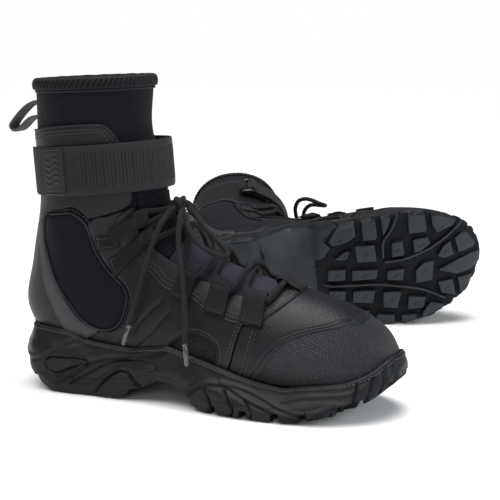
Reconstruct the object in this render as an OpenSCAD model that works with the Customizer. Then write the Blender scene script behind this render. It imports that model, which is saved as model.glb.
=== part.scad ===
// A pair of neoprene water boots. The right boot stands, the left boot lies on its outer side.
// Each boot is drawn in its own frame: X towards the toe, Y towards the inner side, Z up,
// with the origin under the heel on the sole's resting plane.

/* [Upper] */
// Thickness of the neoprene bootie
neoprene_t = 3; // [2.5:0.25:3.5]
// Thickness of the synthetic leather pieces
leather_t = 1.4; // [1:0.1:1.5]
// Thickness of the rubber toe cap
toe_cap_t = 2; // [1.5:0.1:2.2]
// Thickness of the padded tongue
tongue_t = 3; // [2.5:0.1:3.2]
// Gap between two layers of the upper
layer_gap = 0.6; // [0.5:0.05:0.7]

/* [Sole] */
// Depth of the grooves between the tread lugs
lug_depth = 7; // [5:0.5:8]
// Width of the grooves between the tread lugs
groove_w = 5; // [3:0.5:6]
// Thickness of the sole's rim around the upper
rim_t = 4; // [3.5:0.1:4.2]
// Thickness of the insole
insole_t = 3.5; // [2.5:0.5:4]
// Thickness of the lasting board
board_t = 1.6; // [1.2:0.1:1.8]
// Thickness of the shank
shank_t = 1.2; // [0.8:0.1:1.3]

/* [Strap] */
// Width of the ankle strap
strap_w = 38; // [34:1:38]
// Thickness of the strap
strap_t = 2; // [1.6:0.1:2.2]
// Radius of the bars of the strap ring
ring_bar_r = 1.8; // [1.5:0.1:1.8]
// Rise of the strap from back to front, in degrees
strap_rise = 4.5; // [3:0.5:5]

/* [Laces] */
// Diameter of the lace
lace_d = 4.2; // [3:0.2:4.2]
// Length of a lace's end ferrule
aglet_len = 18; // [14:1:18]

/* [Left boot] */
// Place of the left boot's heel on the floor, and the height of its sole's centre line
left_pos = [12, 220, 38.6];
// Turn of the left boot about the vertical, in degrees
left_yaw = 17; // [10:1:30]
// Tilt of the left boot's shaft up from the floor, in degrees
left_roll = 8.5; // [3:0.5:10]
// Tilt of the left boot's toe up from the floor, in degrees
left_pitch = 5.2; // [3:0.2:7]
// How far the left strap's loose tail springs off the boot
left_tail = 13; // [0:1:15]

/* [Hidden] */
SIDES = ["right", "left"];
PIECES = ["outsole", "midsole", "shank", "lasting_board", "insole", "sleeve", "collar_hem", "toe_cap",
    "vamp", "quarter_lateral", "quarter_medial", "drain_mesh", "heel_counter", "heel_stay",
    "ankle_panels", "cuff", "eyestay", "lace_loops", "tongue_pad", "lace", "lace_bow", "lace_end_a",
    "lace_end_b", "aglets", "strap_base", "strap_ring", "strap", "strap_patch", "pull_loop"];

// Cross-sections of the foot and shaft from the toe to the collar. Each one spans from a
// sole or heel point to an instep or shin point. Columns: sole x, z, instep x, z, outer half
// width, inner half width, height share of the widest point, lower and upper roundness, centre y.
SECTIONS = [
    [268, 36, 268, 39, 2, 2, .45, 2.4, 2.0, 4],
    [264, 30, 264, 50, 14, 14, .45, 2.5, 2.0, 4],
    [253, 24, 253, 64, 30, 28, .40, 2.8, 2.0, 4],
    [231, 21, 229, 78, 41, 38, .36, 3.0, 2.0, 3],
    [200, 20, 196, 88, 46, 43, .33, 3.0, 2.0, 2],
    [165, 21, 164, 94, 45, 42, .32, 3.0, 1.95, 1],
    [125, 24, 136, 103, 40, 38, .32, 2.8, 1.9, 0],
    [85, 27, 114, 114, 36, 35, .32, 2.6, 1.9, 0],
    [35, 29, 96, 126, 34, 34, .36, 2.5, 2.0, 0],
    [-12, 32, 86, 138, 34, 34, .42, 2.3, 2.0, 0],
    [-36, 62, 80, 152, 37, 37, .44, 2.2, 2.1, 0],
    [-31, 102, 76, 170, 39, 39, .46, 2.1, 2.1, 0],
    [-22, 146, 71, 189, 40, 40, .48, 2.1, 2.1, 0],
    [-25, 198, 66, 212, 41, 41, .50, 2.1, 2.1, 0],
    [-26, 244, 68, 244, 42, 42, .50, 2.1, 2.1, 0]];
TOP = len(SECTIONS) - 1;
// How far the bootie's face lies inside the surface that the layers are laid on
SLEEVE_IN = 0.4;

// Plan outline of the sole, from the toe along the outer side to the heel and back.
SOLE_PLAN = [[277, 6], [269, -21], [251, -40], [222, -52], [188, -56], [150, -54], [112, -46],
    [75, -41], [35, -40], [0, -40], [-24, -33], [-38, -16], [-41, 1], [-37, 18], [-22, 34], [0, 40],
    [35, 40], [80, 41], [115, 43], [150, 48], [185, 53], [215, 54], [246, 46], [267, 30]];

// Side profiles of the sole as [x, z], from the heel to the toe.
TREAD_LINE = [[-50, 34], [-38, 20], [-26, 13], [-13, 5], [-4, 0], [58, 0], [62, 4], [78, 12], [90, 18],
    [104, 17], [114, 13], [118, 5], [130, 0], [198, 0], [212, 2], [230, 6], [246, 12], [258, 18],
    [270, 27], [290, 42]];
SOLE_LINE = [[-50, 36], [-38, 22], [-26, 15], [-8, 10], [30, 11], [60, 15], [90, 21.5], [104, 20.5],
    [118, 15], [135, 10], [200, 9], [222, 12], [240, 18], [255, 27], [266, 40], [270, 48]];
RIM_LINE = [[-50, 50], [3, 50], [21, 44], [34, 42], [73, 42], [98, 45], [120, 40], [141, 35], [167, 29],
    [195, 25], [223, 28], [246, 31], [261, 38], [270, 48]];
FLOOR_LINE = [[-60, 26.5], [40, 25.5], [90, 24], [130, 20.5], [165, 17.5], [200, 16.5], [235, 17.5],
    [255, 20.5], [290, 27]];

// Height of the insole's underside above the sole's inner floor
INSOLE_RISE = 10.4;

// Leather pieces as [u, v] edges: u runs from the front middle line, 0, to the sole or heel
// middle line, 1, and v runs along SECTIONS from the toe.
MARGIN = 0.84;
CAP_EDGE = [[0, 2.6], [.145, 2.73], [.19, 3], [.25, 3.25], [.34, 3.95], [.4, 4.35], [.5, 4.75],
    [.67, 5.05], [MARGIN, 5.2]];
VAMP_EDGE = [[0, 4.2], [.15, 4.22], [.25, 4.6], [.335, 5], [.37, 5.14], [.6, 5.37], [MARGIN, 5.5]];
QUARTER = [[.35, 5.15, MARGIN, 5.58], [.35, 5.58, MARGIN, 5.64], [.348, 5.62, .74, 5.67],
    [.345, 5.66, .65, 5.69], [.343, 5.7, .56, 5.72], [.34, 5.74, .465, 5.74], [.335, 6.2, .435, 6.2],
    [.325, 6.6, .47, 6.6], [.32, 6.85, .54, 6.9], [.32, 6.88, .64, 6.93], [.32, 6.91, .74, 6.96],
    [.32, 6.95, MARGIN, 7], [.32, 7.4, MARGIN, 7.5], [.31, 7.75, MARGIN, 7.85], [.308, 7.8, .74, 7.87],
    [.306, 7.85, .65, 7.88], [.303, 7.9, .55, 7.89], [.3, 7.95, .46, 7.9], [.295, 8.3, .395, 8.3],
    [.3, 8.7, .385, 8.7], [.31, 9.3, .39, 9.3], [.32, 9.8, .392, 9.8], [.3, 10.2, .41, 10.3],
    [.285, 10.45, .42, 10.6]];
DRAIN = [[.49, 5.82, MARGIN, 5.82], [.46, 5.98, MARGIN, 5.98], [.455, 6.2, MARGIN, 6.2],
    [.49, 6.52, MARGIN, 6.52], [.55, 6.7, MARGIN, 6.8]];
PANEL = [[.47, 8.05, .54, 8.05], [.415, 8.3, .57, 8.3], [.4, 8.8, .555, 8.8], [.405, 9.4, .55, 9.4],
    [.41, 9.9, .555, 9.9], [.425, 10.4, .58, 10.4], [.45, 10.8, .62, 10.8], [.495, 11.2, .67, 11.2],
    [.56, 11.5, .69, 11.5]];
STAY = [[.6, 8.2, .76, 8.4], [.585, 8.8, .69, 8.8], [.57, 9.4, .63, 9.4], [.58, 9.9, .64, 9.9],
    [.605, 10.4, .67, 10.4], [.65, 10.8, .72, 10.8], [.7, 11.2, .77, 11.2], [.72, 11.4, .8, 11.4]];
COUNTER = [[.77, 8.88], [.71, 9.05], [.65, 9.4], [.66, 9.9], [.69, 10.4], [.74, 10.8], [.79, 11.2],
    [.82, 11.4]];
CUFF = [[.25, 10.75, 12.6], [.27, 10.75, 12.85], [.3, 10.75, 13.05], [.35, 10.85, 13.14],
    [.43, 11.05, 13.16], [.48, 11.45, 13.16], [.55, 11.75, 13.16], [.62, 11.75, 13.16],
    [.68, 11.7, 13.16], [.74, 11.6, 13.16], [.81, 11.6, 13.16], [.88, 11.6, 13.16], [.94, 11.6, 13.16],
    [1, 11.6, 13.16]];
EYESTAY = [[.22, 10.4, .29, 10.4], [.225, 9.9, .31, 9.9], [.225, 9.3, .3, 9.3], [.22, 8.5, .29, 8.5],
    [.215, 7.9, .29, 7.9], [.215, 7.3, .31, 7.3], [.215, 6.6, .31, 6.6], [.22, 5.9, .33, 5.9],
    [.215, 5.2, .335, 5.1], [.18, 4.75, .27, 4.35], [.12, 4.5, .15, 4.02], [.06, 4.42, .07, 3.98],
    [0, 4.4, 0, 3.97]];

// Lace loops: the places of their middles along v, and the lace's place inside them.
LOOP_V = [4.92, 5.85, 6.9, 9.05, 9.95];
LOOP_HALF = 0.27;
LACE_U = .21;
LACE_OUT = 7.8;
LOOP_PATH = [[.33, 5.8], [.27, 5.5], [.215, 5.5], [.184, 6.1], [.174, 7.8], [.184, 9.7], [.215, 10.8],
    [.27, 8.8], [.33, 6.9]];
LOOP_T = 0.9;
KNOT = [98, -12, 153];
KNOT_R = 5.5;

// Free lace ends and bow loops, by hand, in the boot's frame.
BOW_LATERAL = [[101, -14, 150], [106, -19, 143], [112, -25, 134], [121, -30, 126], [132, -32, 120],
    [141, -29, 117], [142, -23, 119], [134, -19, 125], [122, -14, 133], [111, -9, 142], [103, -8, 149]];
BOW_MEDIAL = [[97, -4, 153], [97, 5, 151], [98, 16, 145], [98, 26, 136], [97, 35, 124], [97, 40, 114],
    [101, 41, 108], [106, 37, 111], [106, 28, 122], [104, 18, 133], [102, 7, 143], [100, -2, 150]];
END_A = [[96, -16.5, 151], [94, -25, 147], [90, -33, 137], [86, -37, 124], [82, -40, 108], [78, -42, 92],
    [73, -43, 74], [69, -43, 62]];
END_B = [[101, -16, 149], [103, -24, 142], [105, -31, 131], [108, -36, 117], [112, -40, 102],
    [115, -44, 84], [118, -49, 68], [119, -52.5, 54]];
END_A_TIP = [63, -43.5, 45];
END_B_TIP = [121, -53.5, 36.1];

// Free ends of the left lace, by hand, in the pair's frame: they drop from the knot to the floor.
LEFT_END_A = [[63, 396.5, 57.5], [68, 401, 53], [73, 405, 45], [78, 407, 34], [82, 409, 22], [87, 411, 11],
    [95, 413, 4], [107, 414, 2.4], [120, 411, 2.4], [133, 405, 2.4]];
LEFT_END_B = [[59.5, 398.8, 54], [59.5, 402.8, 49], [62, 404.5, 41], [66.5, 407, 32], [70, 412, 21],
    [75, 418, 10], [84, 424, 4], [97, 428, 2.4], [111, 429, 2.4], [127, 426, 2.4]];
LEFT_A_TIP = [149.5, 398, 2.4];
LEFT_B_TIP = [144, 420.6, 2.4];

// Strap loop around the shaft: centre, half sizes to the inside of the sewn base, heights.
LOOP_X = 26;
LOOP_A = 54;
LOOP_B = 43.8;
STRAP_Z = 177.5;
STRAP_TURN_X = 15;
BASE_T = 1.6;
STRAP_OFF = BASE_T + 0.6;
RING_X = [38, 48];
RING_Y = [46.1, 45.8];
EYE_GAP = 0.3;
EYE_T = 1.5;
PATCH_T = 1.2;
STRAP_END = -120;
TAIL_FROM = -60;

// Pull loop at the back, side view as [x, z].
PULL_OUTER = [[-26.5, 229], [-33, 228.5], [-41, 225], [-50, 217.5], [-57, 211], [-59, 207], [-57, 203],
    [-52, 201.5], [-46, 204.5], [-40, 210], [-34, 213], [-26.5, 213.5]];
PULL_INNER = [[-32, 224.5], [-40, 221], [-47, 214.5], [-54, 208], [-52, 205.5], [-46, 209], [-40, 214.5],
    [-32, 217.5]];
PULL_W = 16;

function spline(a, b, c, d, t) = 0.5 * (2 * b + (c - a) * t + (2 * a - 5 * b + 4 * c - d) * t * t
    + (3 * b - a - 3 * c + d) * t * t * t);
function section(v) = let (i = min(max(floor(v), 0), TOP - 1), b = SECTIONS[i], c = SECTIONS[i + 1],
    a = i > 0 ? SECTIONS[i - 1] : 2 * b - c, d = i < TOP - 1 ? SECTIONS[i + 2] : 2 * c - b)
    spline(a, b, c, d, v - i);
function wrap(u) = u > 1 ? u - 2 : (u < -1 ? u + 2 : u);
// Point of the bootie's outer surface.
function surface_at(u, v) = let (q = section(v), w = wrap(u), low = [q[0], q[1]], high = [q[2], q[3]],
    h = norm(high - low), c = cos(180 * w), n = c >= 0 ? q[8] : q[7],
    rise = c >= 0 ? (1 - q[6]) * h * pow(c, 2 / n) : -q[6] * h * pow(-c, 2 / n),
    side = (w >= 0 ? -q[4] : q[5]) * pow(abs(sin(180 * w)), 2 / n),
    p = low + (q[6] * h + rise) * (high - low) / h) [p[0], q[9] + side, p[1]];
function normal_at(u, v) = let (a = surface_at(u + .002, v) - surface_at(u - .002, v),
    b = surface_at(u, min(v + .01, TOP)) - surface_at(u, max(v - .01, 0)), n = cross(b, a)) n / norm(n);
function skin(u, v, out) = surface_at(u, v) + out * normal_at(u, v);
function flat(grid) = [for (row = grid) for (p = row) p];
function along(table, x) = let (i = max([for (k = [0:len(table) - 2]) table[k][0] <= x ? k : 0]),
    a = table[i], b = table[i + 1]) a[1] + (b[1] - a[1]) * (x - a[0]) / (b[0] - a[0]);

// Closed slab between two grids of points.
module slab(upper, lower) {
    rows = len(upper);
    cols = len(upper[0]);
    i = floor(rows / 2) - 1;
    j = floor(cols / 2) - 1;
    turn = cross(upper[i + 1][j] - upper[i][j], upper[i][j + 1] - upper[i][j])
        * (upper[i][j] - lower[i][j]) > 0;
    size = rows * cols;
    function quad(a, b, c, d) = turn ? [[a, d, c], [a, c, b]] : [[a, b, c], [a, c, d]];
    faces = [
        for (r = [0:rows - 2]) for (c = [0:cols - 2]) each
            quad(r * cols + c, (r + 1) * cols + c, (r + 1) * cols + c + 1, r * cols + c + 1),
        for (r = [0:rows - 2]) for (c = [0:cols - 2]) each
            quad(size + r * cols + c, size + r * cols + c + 1, size + (r + 1) * cols + c + 1,
                size + (r + 1) * cols + c),
        for (r = [0:rows - 2]) each quad(r * cols, size + r * cols, size + (r + 1) * cols, (r + 1) * cols),
        for (r = [0:rows - 2]) let (e = r * cols + cols - 1) each
            quad(e, e + cols, size + e + cols, size + e),
        for (c = [0:cols - 2]) each quad(c, c + 1, size + c + 1, size + c),
        for (c = [0:cols - 2]) let (e = (rows - 1) * cols + c) each
            quad(e, size + e, size + e + 1, e + 1)];
    polyhedron(concat(flat(upper), flat(lower)), faces);
}

// Closed skin over a list of rings; a loop joins the last ring to the first.
module ringed(rings, loop = false) {
    count = len(rings);
    n = len(rings[0]);
    function sum(list, i = 0) = i == len(list) ? [0, 0, 0] : list[i] + sum(list, i + 1);
    centre_a = sum(rings[0]) / n;
    centre_b = sum(rings[count - 1]) / n;
    k = floor(count / 2) - 1;
    centre_k = sum(rings[k]) / n;
    turn = cross(rings[k + 1][0] - rings[k][0], rings[k][1] - rings[k][0]) * (rings[k][0] - centre_k) > 0;
    function tri(a, b, c) = turn ? [a, c, b] : [a, b, c];
    last = count - (loop ? 1 : 2);
    faces = [
        for (r = [0:last]) for (j = [0:n - 1]) let (a = r * n + j, b = r * n + (j + 1) % n,
            c = ((r + 1) % count) * n + j, d = ((r + 1) % count) * n + (j + 1) % n)
            each [tri(a, c, d), tri(a, d, b)],
        if (!loop) for (j = [0:n - 1]) tri(count * n, j, (j + 1) % n),
        if (!loop) let (e = (count - 1) * n) for (j = [0:n - 1]) tri(count * n + 1, e + (j + 1) % n, e + j)];
    polyhedron(concat(flat(rings), loop ? [] : [centre_a, centre_b]), faces);
}

// Leather piece between two edges, given as rows of [u, v, u, v].
module leather(rows, cols, inner, outer, sign = 1) {
    function grid(out) = [for (r = rows) [for (j = [0:cols])
        skin(sign * (r[0] + (r[2] - r[0]) * j / cols), r[1] + (r[3] - r[1]) * j / cols, out)]];
    slab(grid(outer), grid(inner));
}

// Round tube through a route's points.
function smooth(route, steps) = let (n = len(route)) [for (i = [0:n - 2]) for (k = [0:steps - 1])
    spline(i > 0 ? route[i - 1] : 2 * route[0] - route[1], route[i], route[i + 1],
        i < n - 2 ? route[i + 2] : 2 * route[n - 1] - route[n - 2], k / steps), route[n - 1]];
module tube(route, d, steps = 2, sides = 8) {
    path = smooth(route, steps);
    n = len(path);
    tangent = [for (i = [0:n - 1]) let (t = path[min(i + 1, n - 1)] - path[max(i - 1, 0)]) t / norm(t)];
    start = cross(tangent[0], [0.3, 0.2, 0.9]);
    side = [for (i = 0, s = start / norm(start); i < n; i = i + 1,
        s = i < n ? let (w = s - (s * tangent[i]) * tangent[i]) w / norm(w) : s) s];
    ringed([for (i = [0:n - 1]) let (s = side[i] - (side[i] * tangent[i]) * tangent[i],
        a = s / norm(s), b = cross(tangent[i], a))
        [for (k = [0:sides - 1]) path[i] + d / 2 * (cos(360 * k / sides) * a + sin(360 * k / sides) * b)]]);
}
module rod(a, b, r) {
    v = b - a;
    translate(a) rotate([0, acos(v[2] / norm(v)), atan2(v[1], v[0])]) cylinder(h = norm(v), r = r, $fn = 24);
}

// Sole shapes
function plan(inset, steps = 3) = let (n = len(SOLE_PLAN)) [for (i = [0:n - 1]) for (k = [0:steps - 1])
    let (a = SOLE_PLAN[(i + n - 1) % n], b = SOLE_PLAN[i], c = SOLE_PLAN[(i + 1) % n],
        d = SOLE_PLAN[(i + 2) % n], t = k / steps, p = spline(a, b, c, d, t),
        q = spline(a, b, c, d, t + .01) - p) p + inset * [q[1], -q[0]] / norm(q)];
module prism(inset, low, high) translate([0, 0, low]) linear_extrude(high - low) polygon(plan(inset));
module side_band(lower, upper) translate([0, 80, 0]) rotate([90, 0, 0]) linear_extrude(160)
    polygon(concat(lower, [for (i = [len(upper) - 1:-1:0]) upper[i]]));
function raised(line, dz) = [for (p = line) [p[0], p[1] + dz]];

// Hollow of the sole, which the lasted upper sits in.
module foot_space() intersection() {
    prism(rim_t, 10, 70);
    side_band(FLOOR_LINE, [[-60, 80], [290, 80]]);
}
LUG_ROWS = [-13, 12, 33, 54, 134, 157, 180, 203, 226, 248];
module outsole() color("dimgray") difference() {
    intersection() {
        union() {
            prism(3.5, -1, 12);
            prism(0, 8, 52);
        }
        side_band(TREAD_LINE, concat(raised(SOLE_LINE, -0.1), [[290, 50]]));
    }
    foot_space();
    for (x = LUG_ROWS) translate([x - groove_w / 2, -70, -1]) cube([groove_w, 140, lug_depth + 1]);
    for (y = [-14, 14]) translate([-45, y - groove_w / 2, -1]) cube([112, groove_w, lug_depth + 1]);
    for (y = [-17, 17]) translate([112, y - groove_w / 2, -1]) cube([140, groove_w, lug_depth + 1]);
}
module midsole() color("gray") difference() {
    intersection() {
        prism(0.4, 0, 60);
        side_band(SOLE_LINE, RIM_LINE);
    }
    foot_space();
    translate([8, -12, 0]) intersection() {
        cube([114, 24, 60]);
        translate([-8, 12, 0]) side_band(raised(FLOOR_LINE, -shank_t - 0.6), [[-60, 80], [290, 80]]);
    }
}
module shank() color("silver") intersection() {
    translate([10, -10, 0]) cube([110, 20, 60]);
    side_band(raised(FLOOR_LINE, -shank_t - 0.3), raised(FLOOR_LINE, -0.3));
}
function foot_plan(u, out, from) = concat([for (v = [from:0.4:8.8]) let (p = skin(u, v, out)) [p[0], p[1]]],
    [for (v = [8.8:-0.4:from]) let (p = skin(-u, v, out)) [p[0], p[1]]]);
module lasting_board() color("tan") intersection() {
    linear_extrude(60) polygon(foot_plan(MARGIN + 0.04, -0.4, 2));
    side_band(raised(FLOOR_LINE, 0.2), raised(FLOOR_LINE, 0.2 + board_t));
}
module insole() color("slategray") intersection() {
    linear_extrude(60) polygon(foot_plan(MARGIN, -neoprene_t - 2.4, 2.8));
    side_band(raised(FLOOR_LINE, INSOLE_RISE), raised(FLOOR_LINE, INSOLE_RISE + insole_t));
}

// Upper
function skin_ring(v, out, n = 24) = [for (k = [0:n - 1]) skin(-1 + 2 * k / n, v, out)];
module sleeve() color("darkslategray") ringed(concat(
    [for (v = [.25, .7, 1.2, 2, 3, 4, 5, 5.5, 6, 6.5, 7, 7.5, 8, 8.6, 9, 9.4, 10, 11, 12, 13, 14]) skin_ring(v, -SLEEVE_IN)],
    [for (v = [14, 13, 12, 11, 10, 9.4, 9, 8.6, 8, 7, 6, 5, 4, 3, 2, 1.2]) skin_ring(v, -neoprene_t - SLEEVE_IN)]));
HEM = [[.5, 13.79, 0], [1.9, 13.76, 0], [2.1, 13.95, .5], [.8, 14, 2], [-3.8, 14, 2], [-5.1, 13.95, .5],
    [-4.9, 13.8, 0], [-3.7, 13.8, 0], [-3.7, 14, .4], [.5, 14, .4]];
module collar_hem() color("dimgray") ringed([for (k = [0:23]) [for (p = HEM)
    skin(-1 + k / 12, p[1], p[0]) + [0, 0, p[2]]]], true);
EDGE_U = [MARGIN, .75, .67, .58, .5, .4, .34, .25, .19, .1, 0];
BOTH_U = concat(EDGE_U, [for (k = [len(EDGE_U) - 2:-1:0]) -EDGE_U[k]]);
module toe_cap() color("gray")
    leather([for (u = BOTH_U) [u, .2, u, along(CAP_EDGE, abs(u))]], 7, layer_gap + .2, layer_gap + toe_cap_t);
module vamp() color("darkgray")
    leather([for (u = BOTH_U) [u, along(CAP_EDGE, abs(u)) + .03, u, along(VAMP_EDGE, abs(u))]], 4,
        layer_gap, layer_gap + leather_t);
module quarter_lateral() color("gray") leather(QUARTER, 8, layer_gap + .3, layer_gap + leather_t);
module quarter_medial() color("gray") leather(QUARTER, 8, layer_gap + .3, layer_gap + leather_t, -1);
module drain_mesh() color("black") for (s = [1, -1]) leather(DRAIN, 4, layer_gap, 1.4, s);
module heel_counter() color("dimgray") leather([for (p = COUNTER) [p[0], p[1], 2 - p[0], p[1]]], 10,
    layer_gap, layer_gap + leather_t);
module heel_stay() color("silver") for (s = [1, -1]) leather(STAY, 2, layer_gap, layer_gap + leather_t, s);
module ankle_panels() color("midnightblue") for (s = [1, -1]) leather(PANEL, 3, layer_gap, 2, s);
module cuff() color("gray") leather(concat([for (p = CUFF) [p[0], p[1], p[0], p[2]]],
    [for (k = [len(CUFF) - 2:-1:0]) let (p = CUFF[k]) [2 - p[0], p[1], 2 - p[0], p[2]]]), 4,
    layer_gap, layer_gap + leather_t);
module eyestay() color("dimgray") leather(concat(EYESTAY,
    [for (k = [len(EYESTAY) - 2:-1:0]) let (e = EYESTAY[k]) [-e[0], e[1], -e[2], e[3]]]), 2, 3, 4.2);
module tongue_pad() color("darkslategray") leather([for (v = [7.7, 8.2, 8.8, 9.4, 10, 10.8, 11.6, 12.4])
    [-.19, v, .19, v]], 6, layer_gap, layer_gap + tongue_t);

// Laces and their webbing loops. A loop is a folded ribbon in (u, out), as wide as LOOP_HALF along v.
U_MM = 125;
function ribbon(side) = [for (i = [0:len(LOOP_PATH) - 1]) let (n = len(LOOP_PATH),
    t = LOOP_PATH[min(i + 1, n - 1)] - LOOP_PATH[max(i - 1, 0)], q = [-t[1], t[0] * U_MM],
    s = side * LOOP_T / 2 / norm(q)) [LOOP_PATH[i][0] + q[0] * s / U_MM, LOOP_PATH[i][1] + q[1] * s]];
module webbing_loop(v, sign) {
    function grid(side) = [for (k = [-1:1]) [for (p = ribbon(side))
        skin(sign * p[0], v + k * LOOP_HALF, p[1])]];
    slab(grid(1), grid(-1));
}
module front_loop() {
    function grid(side) = [for (k = [-1:1]) [for (p = ribbon(side))
        skin(k * .07, 3.5 + (.33 - p[0]) * 7.2, p[1])]];
    slab(grid(1), grid(-1));
}
module lace_loops() color("black") {
    for (v = LOOP_V) for (s = [1, -1]) webbing_loop(v, s);
    front_loop();
}
// One strand climbs the loops from the front loop to the knot; the other strand mirrors it.
function strand(s) = let (last = len(LOOP_V) - 1) [[s * .1, 4.46, LACE_OUT], [s * .18, 4.56, LACE_OUT],
    for (i = [0:last]) let (w = i % 2 == 0 ? s : -s) each
        [[w * LACE_U, LOOP_V[i] - .26, LACE_OUT], [w * LACE_U, LOOP_V[i] + .26, LACE_OUT],
            if (i < last) [0, (LOOP_V[i] + LOOP_V[i + 1]) / 2, (w > 0) ? 8.4 : 12.8]]];
function strand_points(s) = [for (p = strand(s)) skin(p[0], p[1], p[2])];
module lace() color("black") {
    a = concat(strand_points(1), [[88, -13, 148], KNOT + [-3, -3, 0]]);
    b = concat(strand_points(-1), [[88, 6, 148], KNOT + [-3, 4, 0]]);
    tube(concat([for (k = [len(b) - 1:-1:0]) b[k]], [skin(0, 4.46, LACE_OUT)], a), lace_d, 2);
}
module lace_bow() color("black") {
    translate(KNOT) sphere(KNOT_R, $fn = 24);
    tube(BOW_LATERAL, lace_d);
    tube(BOW_MEDIAL, lace_d);
}
module lace_end(route) color("black") tube(route, lace_d);
module aglet(a, tip) color("silver") rod(a, a + (tip - a) / norm(tip - a) * aglet_len, lace_d / 2 - 0.3);

// Strap
function loop_at(out, angle) = [LOOP_X + (LOOP_A + out) * cos(angle), (LOOP_B + out) * sin(angle)];
function sprung(tail, angle) = tail * pow(max(0, TAIL_FROM - angle) / (TAIL_FROM - STRAP_END), 2);
module strap_band(out, t, from, to, tail = 0) polygon(concat(
    [for (a = [from:5:to]) loop_at(out + sprung(tail, a), a)],
    [for (a = [to:-5:from]) loop_at(out + t + sprung(tail, a), a)]));
module in_strap_plane() translate([STRAP_TURN_X, 0, STRAP_Z]) rotate([0, -strap_rise, 0])
    translate([-STRAP_TURN_X, 0, -strap_w / 2]) children();
// Band with an eye around one bar of the ring.
module eyed_band(k, out, t, from, to, tail = 0) difference() {
    union() {
        strap_band(out, t, from, to, tail);
        translate([RING_X[k], RING_Y[k]]) circle(ring_bar_r + EYE_GAP + EYE_T, $fn = 48);
    }
    translate([RING_X[k], RING_Y[k]]) circle(ring_bar_r + EYE_GAP, $fn = 48);
}
module strap_base() color("dimgray") in_strap_plane() linear_extrude(strap_w)
    eyed_band(0, 0, BASE_T, -150, 75);
module strap(tail) color("gray") in_strap_plane() linear_extrude(strap_w)
    eyed_band(1, STRAP_OFF, strap_t, STRAP_END, 65, tail);
module strap_patch(tail) color("dimgray") in_strap_plane() linear_extrude(strap_w)
    strap_band(STRAP_OFF + strap_t + 0.1, PATCH_T, STRAP_END + 3, STRAP_END + 23, tail);
module strap_ring() color("black") in_strap_plane() {
    for (k = [0, 1]) translate([RING_X[k], RING_Y[k], -4]) cylinder(h = strap_w + 8, r = ring_bar_r, $fn = 32);
    for (z = [-4, strap_w + 1]) translate([0, 0, z]) linear_extrude(3) polygon([
        [RING_X[0] - 2, RING_Y[0] - 2], [RING_X[1] + 2, RING_Y[1] - 2],
        [RING_X[1] + 2, RING_Y[1] + 2], [RING_X[0] - 2, RING_Y[0] + 2]]);
}
module pull_loop() color("lightgray") translate([0, PULL_W / 2, 0]) rotate([90, 0, 0]) linear_extrude(PULL_W)
    difference() {
        polygon(PULL_OUTER);
        polygon(PULL_INNER);
    }

// Places one boot: the left one is the right one's mirror image, laid on its outer side.
module boot(side) {
    if (side == "left") translate(left_pos) rotate([left_roll - 90, -left_pitch, left_yaw])
        mirror([0, 1, 0]) children();
    else children();
}
function tail_of(side) = side == "left" ? left_tail : 0;
module free_end(side, right_route, left_route) {
    if (side == "left") lace_end(left_route);
    else lace_end(right_route);
}
module aglets(side) {
    left = side == "left";
    aglet(left ? LEFT_END_A[len(LEFT_END_A) - 1] : END_A[len(END_A) - 1], left ? LEFT_A_TIP : END_A_TIP);
    aglet(left ? LEFT_END_B[len(LEFT_END_B) - 1] : END_B[len(END_B) - 1], left ? LEFT_B_TIP : END_B_TIP);
}

for (side = SIDES) {
    boot(side) outsole();
    boot(side) midsole();
    boot(side) shank();
    boot(side) lasting_board();
    boot(side) insole();
    boot(side) sleeve();
    boot(side) collar_hem();
    boot(side) toe_cap();
    boot(side) vamp();
    boot(side) quarter_lateral();
    boot(side) quarter_medial();
    boot(side) drain_mesh();
    boot(side) heel_counter();
    boot(side) heel_stay();
    boot(side) ankle_panels();
    boot(side) cuff();
    boot(side) eyestay();
    boot(side) lace_loops();
    boot(side) tongue_pad();
    boot(side) lace();
    boot(side) lace_bow();
    free_end(side, END_A, LEFT_END_A);
    free_end(side, END_B, LEFT_END_B);
    aglets(side);
    boot(side) strap_base();
    boot(side) strap_ring();
    boot(side) strap(tail_of(side));
    boot(side) strap_patch(tail_of(side));
    boot(side) pull_loop();
}
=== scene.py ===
"""Looks for a pair of neoprene water boots. The right boot stands, the left boot lies on its outer side.
Each boot is drawn in its own frame in millimetres: X to the toe, Y to the inner side, Z up."""

import math

import bpy
import numpy as np
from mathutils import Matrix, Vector
from mathutils.geometry import delaunay_2d_cdt


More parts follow.
